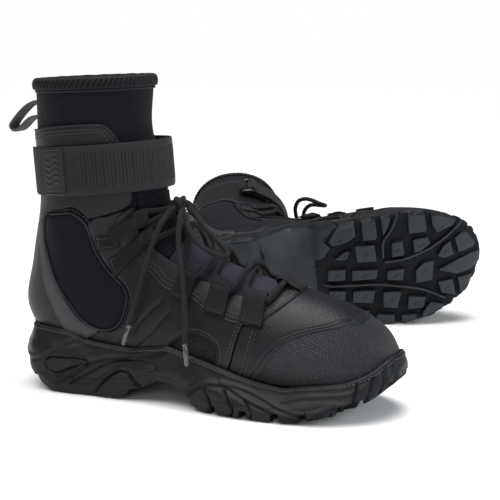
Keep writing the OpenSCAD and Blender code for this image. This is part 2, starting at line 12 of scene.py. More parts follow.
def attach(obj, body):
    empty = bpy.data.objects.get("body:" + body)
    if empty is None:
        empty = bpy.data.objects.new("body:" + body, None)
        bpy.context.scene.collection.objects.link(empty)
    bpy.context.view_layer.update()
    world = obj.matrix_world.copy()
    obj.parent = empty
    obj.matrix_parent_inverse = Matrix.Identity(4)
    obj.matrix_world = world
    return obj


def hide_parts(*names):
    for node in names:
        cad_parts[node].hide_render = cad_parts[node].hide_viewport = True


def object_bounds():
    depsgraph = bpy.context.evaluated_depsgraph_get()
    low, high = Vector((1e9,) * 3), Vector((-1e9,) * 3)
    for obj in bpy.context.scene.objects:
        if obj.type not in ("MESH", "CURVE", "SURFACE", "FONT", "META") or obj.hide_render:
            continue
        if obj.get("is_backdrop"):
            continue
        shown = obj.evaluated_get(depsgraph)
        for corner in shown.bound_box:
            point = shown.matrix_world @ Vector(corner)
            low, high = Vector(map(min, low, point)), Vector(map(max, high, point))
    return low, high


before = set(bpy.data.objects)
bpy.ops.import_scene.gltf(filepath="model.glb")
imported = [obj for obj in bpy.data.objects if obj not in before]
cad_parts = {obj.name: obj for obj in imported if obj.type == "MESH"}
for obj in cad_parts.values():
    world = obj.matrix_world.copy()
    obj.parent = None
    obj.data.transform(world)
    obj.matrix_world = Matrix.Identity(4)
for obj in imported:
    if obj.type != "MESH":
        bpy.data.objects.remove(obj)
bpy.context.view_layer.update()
scene = bpy.context.scene
MM = 0.001

# ---------------------------------------------------------------- camera
AZIMUTH, PITCH = math.radians(21), math.radians(10)
look = Vector((-math.sin(AZIMUTH) * math.cos(PITCH), math.cos(AZIMUTH) * math.cos(PITCH), -math.sin(PITCH)))
camera_data = bpy.data.cameras.new("camera")
camera_data.lens, camera_data.sensor_width = 94.3, 36
camera = bpy.data.objects.new("camera", camera_data)
scene.collection.objects.link(camera)
camera.location = (0.505, -0.9221, 0.292)
camera.rotation_euler = look.to_track_quat("-Z", "Y").to_euler()
scene.camera = camera

# ---------------------------------------------------------------- curves
CHUNK = 4000


def unit(a):
    return a / np.maximum(np.linalg.norm(a, axis=-1, keepdims=True), 1e-12)


def run_of(line):
    """Distance along a line, from its first point to each point."""
    return np.concatenate([[0], np.cumsum(np.linalg.norm(np.diff(line, axis=0), axis=1))])


def left_of(line, closed=False):
    """Direction to the left of a flat line, at each point."""
    t = unit(np.roll(line, -1, 0) - np.roll(line, 1, 0) if closed else np.gradient(line, axis=0))
    return np.stack([-t[:, 1], t[:, 0]], 1)


def turning(loop):
    """1 for a flat loop that runs anticlockwise, -1 for the other way."""
    x, y = loop.T
    return 1 if (x * np.roll(y, -1) - np.roll(x, -1) * y).sum() > 0 else -1


def spline(a, b, c, d, t):
    """Point at share t between b and c of the smooth line a, b, c, d."""
    square, cube = 2 * a - 5 * b + 4 * c - d, 3 * b - a - 3 * c + d
    return 0.5 * (2 * b + (c - a) * t + square * t * t + cube * t**3)


def curve(points, step, closed=False, rough=12):
    """Smooth line through the points, with its own points about a step apart."""
    p = np.array(points, float)
    n = len(p)
    out = []
    t = np.arange(rough)[:, None] / rough
    for i in range(n if closed else n - 1):
        if closed:
            a, b, c, d = p[i - 1], p[i], p[(i + 1) % n], p[(i + 2) % n]
        else:
            b, c = p[i], p[i + 1]
            a = p[i - 1] if i else 2 * b - c
            d = p[i + 2] if i < n - 2 else 2 * c - b
        out.append(spline(a, b, c, d, t))
    out.append(p[:1] if closed else p[-1:])
    q = np.concatenate(out)
    run = run_of(q)
    count = max(int(round(run[-1] / step)), 3)
    at = np.linspace(0, run[-1], count + 1)
    q = np.stack([np.interp(at, run, q[:, k]) for k in range(q.shape[1])], 1)
    return q[:-1] if closed else q


def nearest(points, line):
    """Distance from each point to the nearest point of a dense line."""
    out = np.empty(len(points))
    for i in range(0, len(points), CHUNK):
        d = points[i : i + CHUNK, None, :] - line[None]
        out[i : i + CHUNK] = np.sqrt((d * d).sum(-1).min(1))
    return out


def inside(points, loops):
    """Even-odd test of points against closed loops."""
    hit = np.zeros(len(points), bool)
    for loop in loops:
        a, b = loop, np.roll(loop, -1, 0)
        rise = np.where(b[:, 1] == a[:, 1], 1e-9, b[:, 1] - a[:, 1])
        for i in range(0, len(points), CHUNK):
            x, y = points[i : i + CHUNK, 0, None], points[i : i + CHUNK, 1, None]
            over = (a[:, 1] > y) != (b[:, 1] > y)
            cut = a[:, 0] + (y - a[:, 1]) * (b[:, 0] - a[:, 0]) / rise
            hit[i : i + CHUNK] ^= (over & (x < cut)).sum(1) % 2 == 1
    return hit


def ease(x):
    x = np.clip(x, 0, 1)
    return x * x * (3 - 2 * x)


def bell(x, width):
    """1 at zero, fading to nothing over about two widths."""
    return np.exp(-((x / width) ** 2))


def softening(reach, soft):
    """Weights that smooth a row of values over their neighbours."""
    weights = np.exp(-0.5 * (np.arange(-reach, reach + 1) / soft) ** 2)
    return weights / weights.sum()


# ---------------------------------------------------------------- the foot's surface
# Columns: sole x, z, instep x, z, outer half width, inner half width, height share of the widest
# point, lower and upper roundness, centre y. Rows run from the toe to the collar.
SECTIONS = np.array([
    [268, 36, 268, 39, 2, 2, .45, 2.4, 2.0, 4], [264, 30, 264, 50, 14, 14, .45, 2.5, 2.0, 4],
    [253, 24, 253, 64, 30, 28, .40, 2.8, 2.0, 4], [231, 21, 229, 78, 41, 38, .36, 3.0, 2.0, 3],
    [200, 20, 196, 88, 46, 43, .33, 3.0, 2.0, 2], [165, 21, 164, 94, 45, 42, .32, 3.0, 1.95, 1],
    [125, 24, 136, 103, 40, 38, .32, 2.8, 1.9, 0], [85, 27, 114, 114, 36, 35, .32, 2.6, 1.9, 0],
    [35, 29, 96, 126, 34, 34, .36, 2.5, 2.0, 0], [-12, 32, 86, 138, 34, 34, .42, 2.3, 2.0, 0],
    [-36, 62, 80, 152, 37, 37, .44, 2.2, 2.1, 0], [-31, 102, 76, 170, 39, 39, .46, 2.1, 2.1, 0],
    [-22, 146, 71, 189, 40, 40, .48, 2.1, 2.1, 0], [-25, 198, 66, 212, 41, 41, .50, 2.1, 2.1, 0],
    [-26, 244, 68, 248, 42, 42, .50, 2.1, 2.1, 0]], float)
TOP = len(SECTIONS) - 1


def surface_at(u, v):
    """Points of the upper's surface: u round the foot from the instep, v along it from the toe."""
    i = np.clip(np.floor(v).astype(int), 0, TOP - 1)
    b, c = SECTIONS[i], SECTIONS[i + 1]
    a = np.where((i > 0)[..., None], SECTIONS[np.maximum(i - 1, 0)], 2 * b - c)
    d = np.where((i < TOP - 1)[..., None], SECTIONS[np.minimum(i + 2, TOP)], 2 * c - b)
    q = np.moveaxis(spline(a, b, c, d, (v - i)[..., None]), -1, 0)
    w = np.where(u > 1, u - 2, np.where(u < -1, u + 2, u))
    dx, dz = q[2] - q[0], q[3] - q[1]
    h = np.hypot(dx, dz)
    c = np.cos(np.pi * w)
    n = np.where(c >= 0, q[8], q[7])
    rise = np.where(c >= 0, 1 - q[6], -q[6]) * h * np.abs(c) ** (2 / n)
    side = np.where(w >= 0, -q[4], q[5]) * np.abs(np.sin(np.pi * w)) ** (2 / n)
    f = (q[6] * h + rise) / h
    return np.stack([q[0] + f * dx, q[9] + side, q[1] + f * dz], -1)


def skin(u, v, out):
    """Points that far outside the upper's surface."""
    u, v, out = np.broadcast_arrays(np.asarray(u, float), np.asarray(v, float), np.asarray(out, float))
    a = surface_at(u + 0.004, v) - surface_at(u - 0.004, v)
    b = surface_at(u, np.minimum(v + 0.02, TOP)) - surface_at(u, np.maximum(v - 0.02, 0))
    # soft unevenness that every layer shares
    wobble = 0.35 * np.sin(3 * np.pi * u + 2.1 * v) * np.sin(1.7 * v + 1)
    wobble = wobble + 0.2 * np.sin(5 * np.pi * u - 3.3 * v + 2)
    wobble = wobble * ease((v - 4.5) / 2) * ease((13.6 - v) / 0.6)
    return surface_at(u, v) + (out + wobble)[..., None] * unit(np.cross(b, a))


# flat coordinates in millimetres: x round the foot, y along it
V_GRID = np.linspace(0, TOP, 141)
side_line = surface_at(np.full(len(V_GRID), 0.5), V_GRID)
ARC = run_of(side_line)
half_rings = surface_at(*np.meshgrid(np.linspace(0, 1, 61), V_GRID))
LEAST_GIRTH = 30
GIRTH = np.maximum(np.linalg.norm(np.diff(half_rings, axis=1), axis=2).sum(1), LEAST_GIRTH)


def to_flat(uv):
    uv = np.asarray(uv, float)
    return np.stack([uv[..., 0] * np.interp(uv[..., 1], V_GRID, GIRTH), np.interp(uv[..., 1], V_GRID, ARC)],
        -1)


def from_flat(xy):
    v = np.interp(xy[..., 1], ARC, V_GRID)
    return xy[..., 0] / np.interp(v, V_GRID, GIRTH), v


# ---------------------------------------------------------------- mesh makers: (vertices, faces, uv)
def volume(v, f):
    tri = np.concatenate([f[:, :3], f[:, [0, 2, 3]]]) if f.shape[1] == 4 else f
    a, b, c = v[tri[:, 0]], v[tri[:, 1]], v[tri[:, 2]]
    return (np.cross(a, b) * c).sum()


def solid(v, parts, uv):
    """Closed mesh from faces that already agree in direction; turned outwards."""
    v = np.asarray(v, float)
    parts = [np.asarray(p, int) for p in parts if len(p)]
    if sum(volume(v - v.mean(0), p) for p in parts) < 0:
        parts = [p[:, ::-1] for p in parts]
    faces = [f for p in parts for f in p.tolist()]
    return v, faces, np.asarray(uv, float)


def join(meshes):
    v, f, uv, base = [], [], [], 0
    for m in meshes:
        v.append(m[0])
        uv.append(m[2])
        f += [[i + base for i in face] for face in m[1]]
        base += len(m[0])
    return np.concatenate(v), f, np.concatenate(uv)


def grid_faces(rows, cols, base=0, wrap_r=False, wrap_c=False):
    r, c = np.meshgrid(np.arange(rows if wrap_r else rows - 1), np.arange(cols if wrap_c else cols - 1),
        indexing="ij")
    r, c = r.ravel(), c.ravel()
    r2, c2 = (r + 1) % rows, (c + 1) % cols
    return np.stack([r * cols + c, r2 * cols + c, r2 * cols + c2, r * cols + c2], 1) + base


def ring_edges(loops):
    """Index pairs that close each loop, for loops whose points are stacked in order."""
    edges, base = [], 0
    for loop in loops:
        edges += [(base + i, base + (i + 1) % len(loop)) for i in range(len(loop))]
        base += len(loop)
    return edges


def thinned(points, size):
    """One point for each small square of the given size."""
    _, first = np.unique(np.round(points / size).astype(int), axis=0, return_index=True)
    return points[np.sort(first)]


def triangulated(points, edges, loops, near):
    """Triangles over flat points inside the loops; near is the distance that merges points."""
    points, _, faces, *_ = delaunay_2d_cdt([Vector(p) for p in points], edges, [], 0, near)
    points = np.array([tuple(p) for p in points])
    faces = np.array([f for f in faces if len(f) == 3], int)
    faces = faces[inside(points[faces].mean(1), loops)]
    used, faces = np.unique(faces, return_inverse=True)
    return points[used], faces.reshape(-1, 3)


def open_edges(faces, count):
    """Directed edges that only one triangle has."""
    half = np.concatenate([faces[:, [0, 1]], faces[:, [1, 2]], faces[:, [2, 0]]])
    return half[~np.isin(half[:, 0] * count + half[:, 1], half[:, 1] * count + half[:, 0])]


def slab(top, low, uv):
    """Closed sheet between two grids of points."""
    rows, cols = top.shape[:2]
    size = rows * cols
    rim = np.concatenate([np.arange(cols), np.arange(1, rows) * cols + cols - 1,
        (rows - 1) * cols + np.arange(cols - 2, -1, -1), np.arange(rows - 2, 0, -1) * cols])
    nxt = np.roll(rim, -1)
    faces = [grid_faces(rows, cols), grid_faces(rows, cols, size)[:, ::-1],
             np.stack([rim, nxt, nxt + size, rim + size], 1)]
    flat_uv = uv.reshape(-1, 2)
    return solid(np.concatenate([top.reshape(-1, 3), low.reshape(-1, 3)]), faces,
        np.concatenate([flat_uv, flat_uv]))


def ring_of(count):
    """Cosine and sine of evenly spaced angles, as columns."""
    angle = np.arange(count)[:, None] / count * 2 * np.pi
    return np.cos(angle), np.sin(angle)


def rings(points, uv=None, loop=False):
    """Closed skin over rings of points (n, k, 3); a loop joins the last ring to the first."""
    n, k = points.shape[:2]
    v = points.reshape(-1, 3)
    if uv is None:
        along = run_of(points.mean(1))
        girth = np.linalg.norm(np.diff(points[n // 2], axis=0), axis=1).sum()
        uv = np.stack(np.meshgrid(along, np.arange(k) / k * girth, indexing="ij"), -1)
    uv = uv.reshape(-1, 2)
    faces = [grid_faces(n, k, 0, loop, True)]
    if not loop:
        v = np.concatenate([v, points[:1].mean(1), points[-1:].mean(1)])
        uv = np.concatenate([uv, uv[:1], uv[-1:]])
        j = np.arange(k)
        e = (n - 1) * k
        faces.append(np.stack([np.full(k, n * k), j, (j + 1) % k], 1))
        faces.append(np.stack([np.full(k, n * k + 1), e + (j + 1) % k, e + j], 1))
    return solid(v, faces, uv)


SKEW = (0.3, 0.2, 0.9)  # a direction that no cord starts in


def tube(path, radius, sides=12, taper=True):
    """Round tube along dense points, with rounded ends."""
    p = np.asarray(path, float)
    t = unit(np.gradient(p, axis=0))
    side = np.cross(t[0], SKEW)
    frames = []
    for k in range(len(p)):
        side = side - (side @ t[k]) * t[k]
        side = side / np.linalg.norm(side)
        frames.append(side)
    a = np.array(frames)
    b = np.cross(t, a)
    r = np.full(len(p), float(radius))
    if taper:
        ends = [(p[0] - t[0] * radius * x, y) for x, y in ((0.95, 0.3), (0.7, 0.7), (0.35, 0.93))]
        p = np.concatenate([[e[0] for e in ends], p,
            [p[-1] + t[-1] * radius * x for x in (0.35, 0.7, 0.95)]])
        r = np.concatenate([[radius * e[1] for e in ends], r, [radius * y for y in (0.93, 0.7, 0.3)]])
        a = np.concatenate([a[:1]] * 3 + [a] + [a[-1:]] * 3)
        b = np.concatenate([b[:1]] * 3 + [b] + [b[-1:]] * 3)
    cosine, sine = ring_of(sides)
    ring = p[:, None] + r[:, None, None] * (cosine * a[:, None] + sine * b[:, None])
    along = run_of(p)
    uv = np.stack(np.meshgrid(along, np.arange(sides) / sides * 2 * np.pi * radius, indexing="ij"), -1)
    return rings(ring, uv)


# millimetres: how soon a padded patch rises, and how far apart its points are
CROWN_RUN, BORDER_STEP, DENSE_STEP, LEAST_STEP = 7, 1.5, 0.4, 0.45


def patch(loops, low, high, step=2.6, edge=1.1, rim=0.3, crown=0.0, grooves=()):
    """A sheet cut to an outline on the foot, with holes, rounded edges and pressed lines."""
    reach = edge * 1.6 + 0.3
    lines = [curve(to_flat(l), BORDER_STEP, True) for l in loops]
    border = np.concatenate(lines)
    dense = np.concatenate([curve(to_flat(l), DENSE_STEP, True) for l in loops])
    extra = []
    for l in lines:
        for d in (edge * 0.35, edge * 0.9, reach):
            for s in (1, -1):
                q = l + s * d * left_of(l, True)
                q = q[inside(q, lines)]
                extra.append(q[np.abs(nearest(q, dense) - d) < 0.12 * d + 0.05] if len(q) else q)
    marks = []
    for g, depth, width in grooves:
        c = curve(to_flat(g), 1.2)
        for s in (-1.6, -0.8, 0, 0.8, 1.6):
            extra.append(c + s * width * left_of(c))
        marks.append((curve(to_flat(g), DENSE_STEP), depth, width))
    lo, hi = border.min(0), border.max(0)
    gx, gy = np.meshgrid(np.arange(lo[0], hi[0], step), np.arange(lo[1], hi[1], step * 0.87), indexing="ij")
    gx = gx + (np.arange(gy.shape[1]) % 2)[None, :] * step / 2
    g = np.stack([gx.ravel(), gy.ravel()], 1)
    g = g[inside(g, lines)]
    if len(g):
        g = g[nearest(g, dense) > reach + step * 0.45]
    for m, _, width in marks:
        if len(g):
            g = g[nearest(g, m) > 1.6 * width + step * 0.4]
    extra.append(g)
    free = np.concatenate([e for e in extra if len(e)])
    free = free[inside(free, lines)]
    points = np.concatenate([border, thinned(free, LEAST_STEP)])
    v2, f2 = triangulated(points, ring_edges(lines), lines, 1e-5)
    u, v = from_flat(v2)
    d = nearest(v2, dense)
    round_off = np.sqrt(1 - (1 - np.clip(d / edge, 0, 1)) ** 2)
    h = low + (high - low) * (rim + (1 - rim) * round_off)
    h = h + crown * (1 - np.exp(-np.maximum(d - edge, 0) / CROWN_RUN))
    for m, depth, width in marks:
        h = h - depth * bell(nearest(v2, m), width)
    top, bottom = skin(u, v, h), skin(u, v, low)
    n = len(v2)
    start, end = open_edges(f2, n).T
    wall = np.stack([end, start, start + n, end + n], 1)
    return solid(np.concatenate([top, bottom]), [f2, f2[:, ::-1] + n, wall], np.concatenate([v2, v2]))


CAPSULE_X = np.array([-1, -0.86, 0, 0.86, 1])
CAPSULE_R = np.array([0.25, 0.85, 1.1, 0.85, 0.25])


def dashes(line, normal, pitch=3.2, size=1.15, radius=0.36, slant=0.0):
    """Row of sewn stitches along a dense line of points, as small capsules."""
    run = run_of(line)
    count = max(int(run[-1] / pitch), 1)
    at = (np.arange(count) + 0.5) * run[-1] / count

    def sample(values):
        return np.stack([np.interp(at, run, values[:, k]) for k in range(3)], 1)

    p, n = sample(line), unit(sample(normal))
    t = unit(sample(np.gradient(line, axis=0)))
    s = unit(np.cross(n, t))
    if slant:
        t = unit(t * math.cos(slant) + s * math.sin(slant))
        s = unit(np.cross(n, t))
    cosine, sine = ring_of(6)
    p, t, s, n = (a[:, None, None] for a in (p, t, s, n))
    long, wide = (size * CAPSULE_X)[:, None, None], (radius * CAPSULE_R)[:, None, None]
    body = p + long * t + wide * (cosine * s + sine * n)
    return join([rings(b, np.zeros((5, 6, 2))) for b in body])


def flat_line(points, step, closed):
    """Flat line through (u, v) points, back to its start if it is closed."""
    line = curve(to_flat(points), step, closed)
    return np.concatenate([line, line[:1]]) if closed else line


def sewn(points, out, closed=False, pitch=3.2, offset=0.0, **more):
    """Stitches along a line of (u, v) points on the foot, moved sideways by an offset in millimetres."""
    line = flat_line(points, 1.0, closed)
    u, v = from_flat(line + offset * left_of(line))
    p, q = skin(u, v, out), skin(u, v, out + 1)
    return dashes(p, q - p, pitch, **more)


def cord_on(points, out, radius, closed=False):
    """Piping laid on the foot through (u, v) points."""
    u, v = from_flat(flat_line(points, 1.2, closed))
    return tube(skin(u, v, out), radius, 8)


def mirror_uv(points):
    """The same points on the other side of the foot."""
    return [(-p[0], p[1]) for p in points]


# ---------------------------------------------------------------- materials
class Net:
    """Short calls for shader nodes. Pattern coordinates are millimetres."""

    def __init__(self, name):
        self.mat = bpy.data.materials.new(name)
        self.mat.use_nodes = True
        self.tree = self.mat.node_tree
        self.shader = self.tree.nodes["Principled BSDF"]

    def node(self, kind, **values):
        n = self.tree.nodes.new(kind)
        for k, v in values.items():
            setattr(n, k, v)
        return n

    def put(self, socket, value):
        if isinstance(value, bpy.types.NodeSocket):
            self.tree.links.new(value, socket)
        else:
            socket.default_value = value

    def math(self, op, a, b=0.0):
        n = self.node("ShaderNodeMath", operation=op)
        self.put(n.inputs[0], a)
        self.put(n.inputs[1], b)
        return n.outputs[0]

    def uv(self):
        n = self.node("ShaderNodeSeparateXYZ")
        self.put(n.inputs[0], self.node("ShaderNodeTexCoord").outputs["UV"])
        return n.outputs[0], n.outputs[1]

    def space(self):
        """The object's own coordinates, turned from metres into millimetres."""
        n = self.node("ShaderNodeVectorMath", operation="SCALE")
        self.put(n.inputs[0], self.node("ShaderNodeTexCoord").outputs["Object"])
        n.inputs["Scale"].default_value = 1 / MM
        return n.outputs[0]

    def wave(self, x, pitch):
        """0 to 1 and back, once a pitch."""
        sine = self.math("SINE", self.math("MULTIPLY", x, 2 * math.pi / pitch))
        return self.math("ADD", self.math("MULTIPLY", sine, 0.5), 0.5)

    def crossing(self, x, y, pitch):
        """Strands that cross each other at a slant."""
        strands = [self.wave(self.math(turn, x, y), pitch) for turn in ("ADD", "SUBTRACT")]
        return self.math("MAXIMUM", *strands)

    def noise(self, size, detail):
        n = self.node("ShaderNodeTexNoise")
        self.put(n.inputs["Vector"], self.space())
        n.inputs["Scale"].default_value = 1.0 / size
        n.inputs["Detail"].default_value = detail
        n.inputs["Roughness"].default_value = 0.55
        return n.outputs["Fac"]

    def cells(self, size):
        n = self.node("ShaderNodeTexVoronoi")
        self.put(n.inputs["Vector"], self.node("ShaderNodeTexCoord").outputs["UV"])
        n.inputs["Scale"].default_value = 1.0 / size
        return n.outputs["Distance"]

    def bump(self, height, depth, before=None):
        n = self.node("ShaderNodeBump")
        n.inputs["Strength"].default_value = 1.0
        n.inputs["Distance"].default_value = depth * MM
        self.put(n.inputs["Height"], height)
        if before is not None:
            self.put(n.inputs["Normal"], before)
        return n.outputs["Normal"]

    def finish(self, color, rough, normal, vary, cloud_size, tone=None, **sockets):
        """Base colour and roughness that vary softly, like handled material."""
        cloud = self.noise(cloud_size, 4.0)
        mix = self.node("ShaderNodeMix", data_type="RGBA")
        factor = cloud
        if tone is not None:
            factor = self.math("ADD", self.math("MULTIPLY", cloud, 0.4), self.math("MULTIPLY", tone, 0.6))
        self.put(mix.inputs["Factor"], factor)
        for socket, share in (("A", 1 - vary), ("B", 1 + vary)):
            mix.inputs[socket].default_value = (*[c * share for c in color], 1)
        self.put(self.shader.inputs["Base Color"], mix.outputs["Result"])
        self.put(self.shader.inputs["Roughness"], self.math("ADD", rough - 0.06,
            self.math("MULTIPLY", cloud, 0.12)))
        self.put(self.shader.inputs["Normal"], normal)
        for k, v in sockets.items():
            self.shader.inputs[k.replace("_", " ")].default_value = v
        return self.mat


def neoprene(name, color):
    m = Net(name)
    x, y = m.uv()
    knit = m.math("MULTIPLY", m.wave(x, 0.9), m.wave(y, 1.1))
    normal = m.bump(knit, 0.12, m.bump(m.noise(9, 3), 0.5))
    return m.finish(color, 0.8, normal, 0.3, 25, knit, Sheen_Weight=0.05, Sheen_Roughness=0.5,
        Specular_IOR_Level=0.1)


def leather(name, color, rough=0.42, shine=0.13):
    m = Net(name)
    grain = m.cells(0.9)
    normal = m.bump(grain, 0.16, m.bump(m.noise(3.5, 4), 0.17))
    return m.finish(color, rough, normal, 0.25, 22, grain, Specular_IOR_Level=shine)


def knurled(name, color):
    m = Net(name)
    x, y = m.uv()
    a = m.math("MULTIPLY", m.wave(x, 1.75), m.wave(y, 1.55))
    normal = m.bump(m.math("POWER", a, 0.7), 0.75, m.bump(m.noise(5, 3), 0.1))
    return m.finish(color, 0.42, normal, 0.6, 24, a, Specular_IOR_Level=0.34)


def clear_tip(name, color):
    m = Net(name)
    normal = m.bump(m.noise(1.1, 2), 0.03)
    return m.finish(color, 0.22, normal, 0.1, 6, Sheen_Weight=0.9, Sheen_Roughness=0.25,
                    Coat_Weight=0.8, Coat_Roughness=0.1)


def rubber(name, color, rough=0.55, depth=0.1, shine=0.13):
    m = Net(name)
    normal = m.bump(m.noise(0.7, 2), depth, m.bump(m.noise(6, 4), 0.3))
    return m.finish(color, rough, normal, 0.22, 14, Specular_IOR_Level=shine)


def webbing(name, color, across=1.0, down=1.3, depth=0.28, rough=0.62, shine=0.12):
    m = Net(name)
    x, y = m.uv()
    over = m.math("MULTIPLY", m.wave(x, across), m.wave(m.math("ADD", y, m.math("MULTIPLY", x, 0.5)), down))
    normal = m.bump(over, depth, m.bump(m.noise(1.2, 2), 0.1))
    return m.finish(color, rough, normal, 0.4, 12, over, Sheen_Weight=0.04, Specular_IOR_Level=shine)


def braided(name, color):
    m = Net(name)
    x, y = m.uv()
    strand = m.crossing(x, y, 1.65)
    normal = m.bump(strand, 0.4, m.bump(m.noise(0.5, 2), 0.08))
    return m.finish(color, 0.6, normal, 0.4, 10, strand, Sheen_Weight=0.03, Specular_IOR_Level=0.16)


def netting(name, color):
    m = Net(name)
    x, y = m.uv()
    strand = m.math("POWER", m.crossing(x, m.math("MULTIPLY", y, 0.6), 2.3), 3.0)
    return m.finish(color, 0.6, m.bump(strand, 0.9), 0.9, 10, strand, Specular_IOR_Level=0.12)


MATERIALS = {
    "neoprene": neoprene("neoprene", (0.0056, 0.0057, 0.0082)),
    "panel": neoprene("panel_neoprene", (0.0056, 0.0056, 0.0086)),
    "tongue": neoprene("tongue_neoprene", (0.028, 0.0268, 0.038)),
    "leather": leather("synthetic_leather", (0.0085, 0.0093, 0.0107), 0.4, 0.2),
    "stay": leather("stay_leather", (0.0225, 0.0238, 0.0262), 0.36, 0.35),
    "toe": knurled("toe_rubber", (0.0128, 0.0142, 0.0172)),
    "bumper": rubber("toe_smooth", (0.0115, 0.0125, 0.0142), 0.42, 0.05, 0.2),
    "sole": rubber("outsole_rubber", (0.0108, 0.012, 0.0135), 0.46),
    "tread": rubber("tread_rubber", (0.026, 0.0288, 0.032), 0.5, 0.1, 0.18),
    # the groove material is painted shade: a darker colour for the deep grooves between the lugs, where
    # shadow falls
    "groove": rubber("groove_painted_shade", (0.0095, 0.0103, 0.0113), 0.8, 0.05),
    "wall": rubber("sidewall_rubber", (0.0102, 0.0112, 0.0125), 0.44, 0.1, 0.16),
    "strap": webbing("strap_webbing", (0.0125, 0.013, 0.0146), 0.9, 1.0, 0.16, 0.5, 0.2),
    "webbing": webbing("loop_webbing", (0.0085, 0.0089, 0.0098), 1.2, 1.5),
    "pull": webbing("pull_webbing", (0.1, 0.102, 0.104), 1.3, 1.7, 0.35),
    "lace": braided("lace_cord", (0.0085, 0.0091, 0.0094)),
    "thread": webbing("thread", (0.05, 0.052, 0.055), 0.5, 0.5, 0.08),
    "hem": webbing("hem_binding", (0.0085, 0.0088, 0.0105), 0.8, 0.8, 0.1),
    "mesh": netting("drain_netting", (0.016, 0.0167, 0.0178)),
    "ring": rubber("ring_plastic", (0.0075, 0.0077, 0.008), 0.25, 0.03, 0.5),
    "patch": rubber("patch_rubber", (0.0115, 0.012, 0.0132), 0.38, 0.06, 0.25),
    "aglet": clear_tip("aglet", (0.03, 0.031, 0.032)),
    "insole": webbing("insole_knit", (0.009, 0.009, 0.0105), 1.6, 1.6, 0.2),
    "inner": rubber("inner_parts", (0.3, 0.27, 0.22), 0.7),
}

# ---------------------------------------------------------------- placing pieces on both boots
SIDES = ("right", "left")
LEFT_POS, LEFT_YAW, LEFT_ROLL, LEFT_PITCH = (12, 220, 38.6), 17, 8.5, 5.2


def turn(axis, degrees):
    """Rotation matrix."""
    a = math.radians(degrees)
    c, s = math.cos(a), math.sin(a)
    return np.array({"x": [[1, 0, 0], [0, c, -s], [0, s, c]], "y": [[c, 0, s], [0, 1, 0], [-s, 0, c]],
                     "z": [[c, -s, 0], [s, c, 0], [0, 0, 1]]}[axis])


LEFT = turn("z", LEFT_YAW) @ turn("y", -LEFT_PITCH) @ turn("x", LEFT_ROLL - 90)


def place(points, side):
    """The right boot's points, or the same ones mirrored and laid where the left boot lies."""
    if side == "right":
        return np.asarray(points, float)
    return (np.asarray(points, float) * [1, -1, 1]) @ LEFT.T + np.array(LEFT_POS)


def add(name, mesh, material, body, nodes=(), angle=45):
    """Makes the object from a mesh in millimetres, and lets it ride on its body."""
    v, f, uv = mesh
    me = bpy.data.meshes.new(name)
    me.from_pydata((np.asarray(v) * MM).tolist(), [], f)
    layer = me.uv_layers.new(name="UVMap")
    index = np.empty(len(me.loops), int)
    me.loops.foreach_get("vertex_index", index)
    layer.data.foreach_set("uv", uv[index].astype(np.float32).ravel())
    me.polygons.foreach_set("use_smooth", np.ones(len(me.polygons), bool))
    me.set_sharp_from_angle(angle=math.radians(angle))
    me.materials.append(MATERIALS[material])
    o = bpy.data.objects.new(name, me)
    scene.collection.objects.link(o)
    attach(o, body)
    if nodes:
        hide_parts(*nodes)
    return o


def both(name, mesh, material, nodes=None, body="boot", angle=45, sides=SIDES):
    """The same piece on the right boot and, mirrored, on the left; it replaces the node of its name."""
    v, f, uv = mesh
    made = []
    for side in sides:
        faces = f if side == "right" else [x[::-1] for x in f]
        replaced = [f"{side}_{n}" for n in ([name] if nodes is None else nodes)]
        made.append(add(f"{side}_{name}", (place(v, side), faces, uv), material, f"{side}_{body}",
                        replaced, angle))
    return made


# ---------------------------------------------------------------- laces
LACE_D, AGLET_LEN = 4.2, 18
BOW_LATERAL = [[101, -14, 150], [106, -19, 143], [112, -25, 134], [121, -30, 126], [132, -32, 120],
    [141, -29, 117], [142, -23, 119], [134, -19, 125], [122, -14, 133], [111, -9, 142], [103, -8, 149]]
BOW_MEDIAL = [[97, -4, 153], [97, 5, 151], [98, 16, 145], [98, 26, 136], [97, 35, 124], [97, 40, 114],
    [101, 41, 108], [106, 37, 111], [106, 28, 122], [104, 18, 133], [102, 7, 143], [100, -2, 150]]
LEFT_BOW_MEDIAL = [[58, 393, 66], [58, 386, 77], [58, 378, 88], [61, 368, 97], [67, 360, 105],
    [76, 354.5, 108.5], [85, 350.5, 108], [92, 350.5, 105.5], [96.8, 354.8, 103], [95.5, 361.5, 101.5],
    [89, 365.5, 101], [82, 367.5, 101], [76, 368.5, 99.5], [70, 372, 94], [65, 381, 84], [63, 388, 74],
    [62, 391, 68]]
END_A = [[96, -16.5, 151], [94, -25, 147], [90, -33, 137], [86, -37, 124], [82, -40, 108], [78, -42, 92],
    [73, -43, 74], [69, -43, 62]]
END_B = [[101, -16, 149], [103, -24, 142], [105, -31, 131], [108, -36, 117], [112, -40, 102],
    [115, -44, 84], [118, -49, 68], [119, -52.5, 54]]
END_A_TIP, END_B_TIP = [63, -43.5, 45], [121, -53.5, 36.1]
LEFT_END_A = [[63, 396.5, 57.5], [68, 401, 53], [73, 405, 45], [78, 407, 34], [82, 409, 22], [87, 411, 11],
    [95, 413, 4], [107, 414, 2.4], [120, 411, 2.4], [133, 405, 2.4]]
LEFT_END_B = [[59.5, 398.8, 54], [59.5, 402.8, 49], [62, 404.5, 41], [66.5, 407, 32], [70, 412, 21],
    [75, 418, 10], [84, 424, 4], [97, 428, 2.4], [111, 429, 2.4], [127, 426, 2.4]]
LEFT_A_TIP, LEFT_B_TIP = [149.5, 398, 2.4], [144, 420.6, 2.4]
KNOT = np.array([98, -12, 153.0])


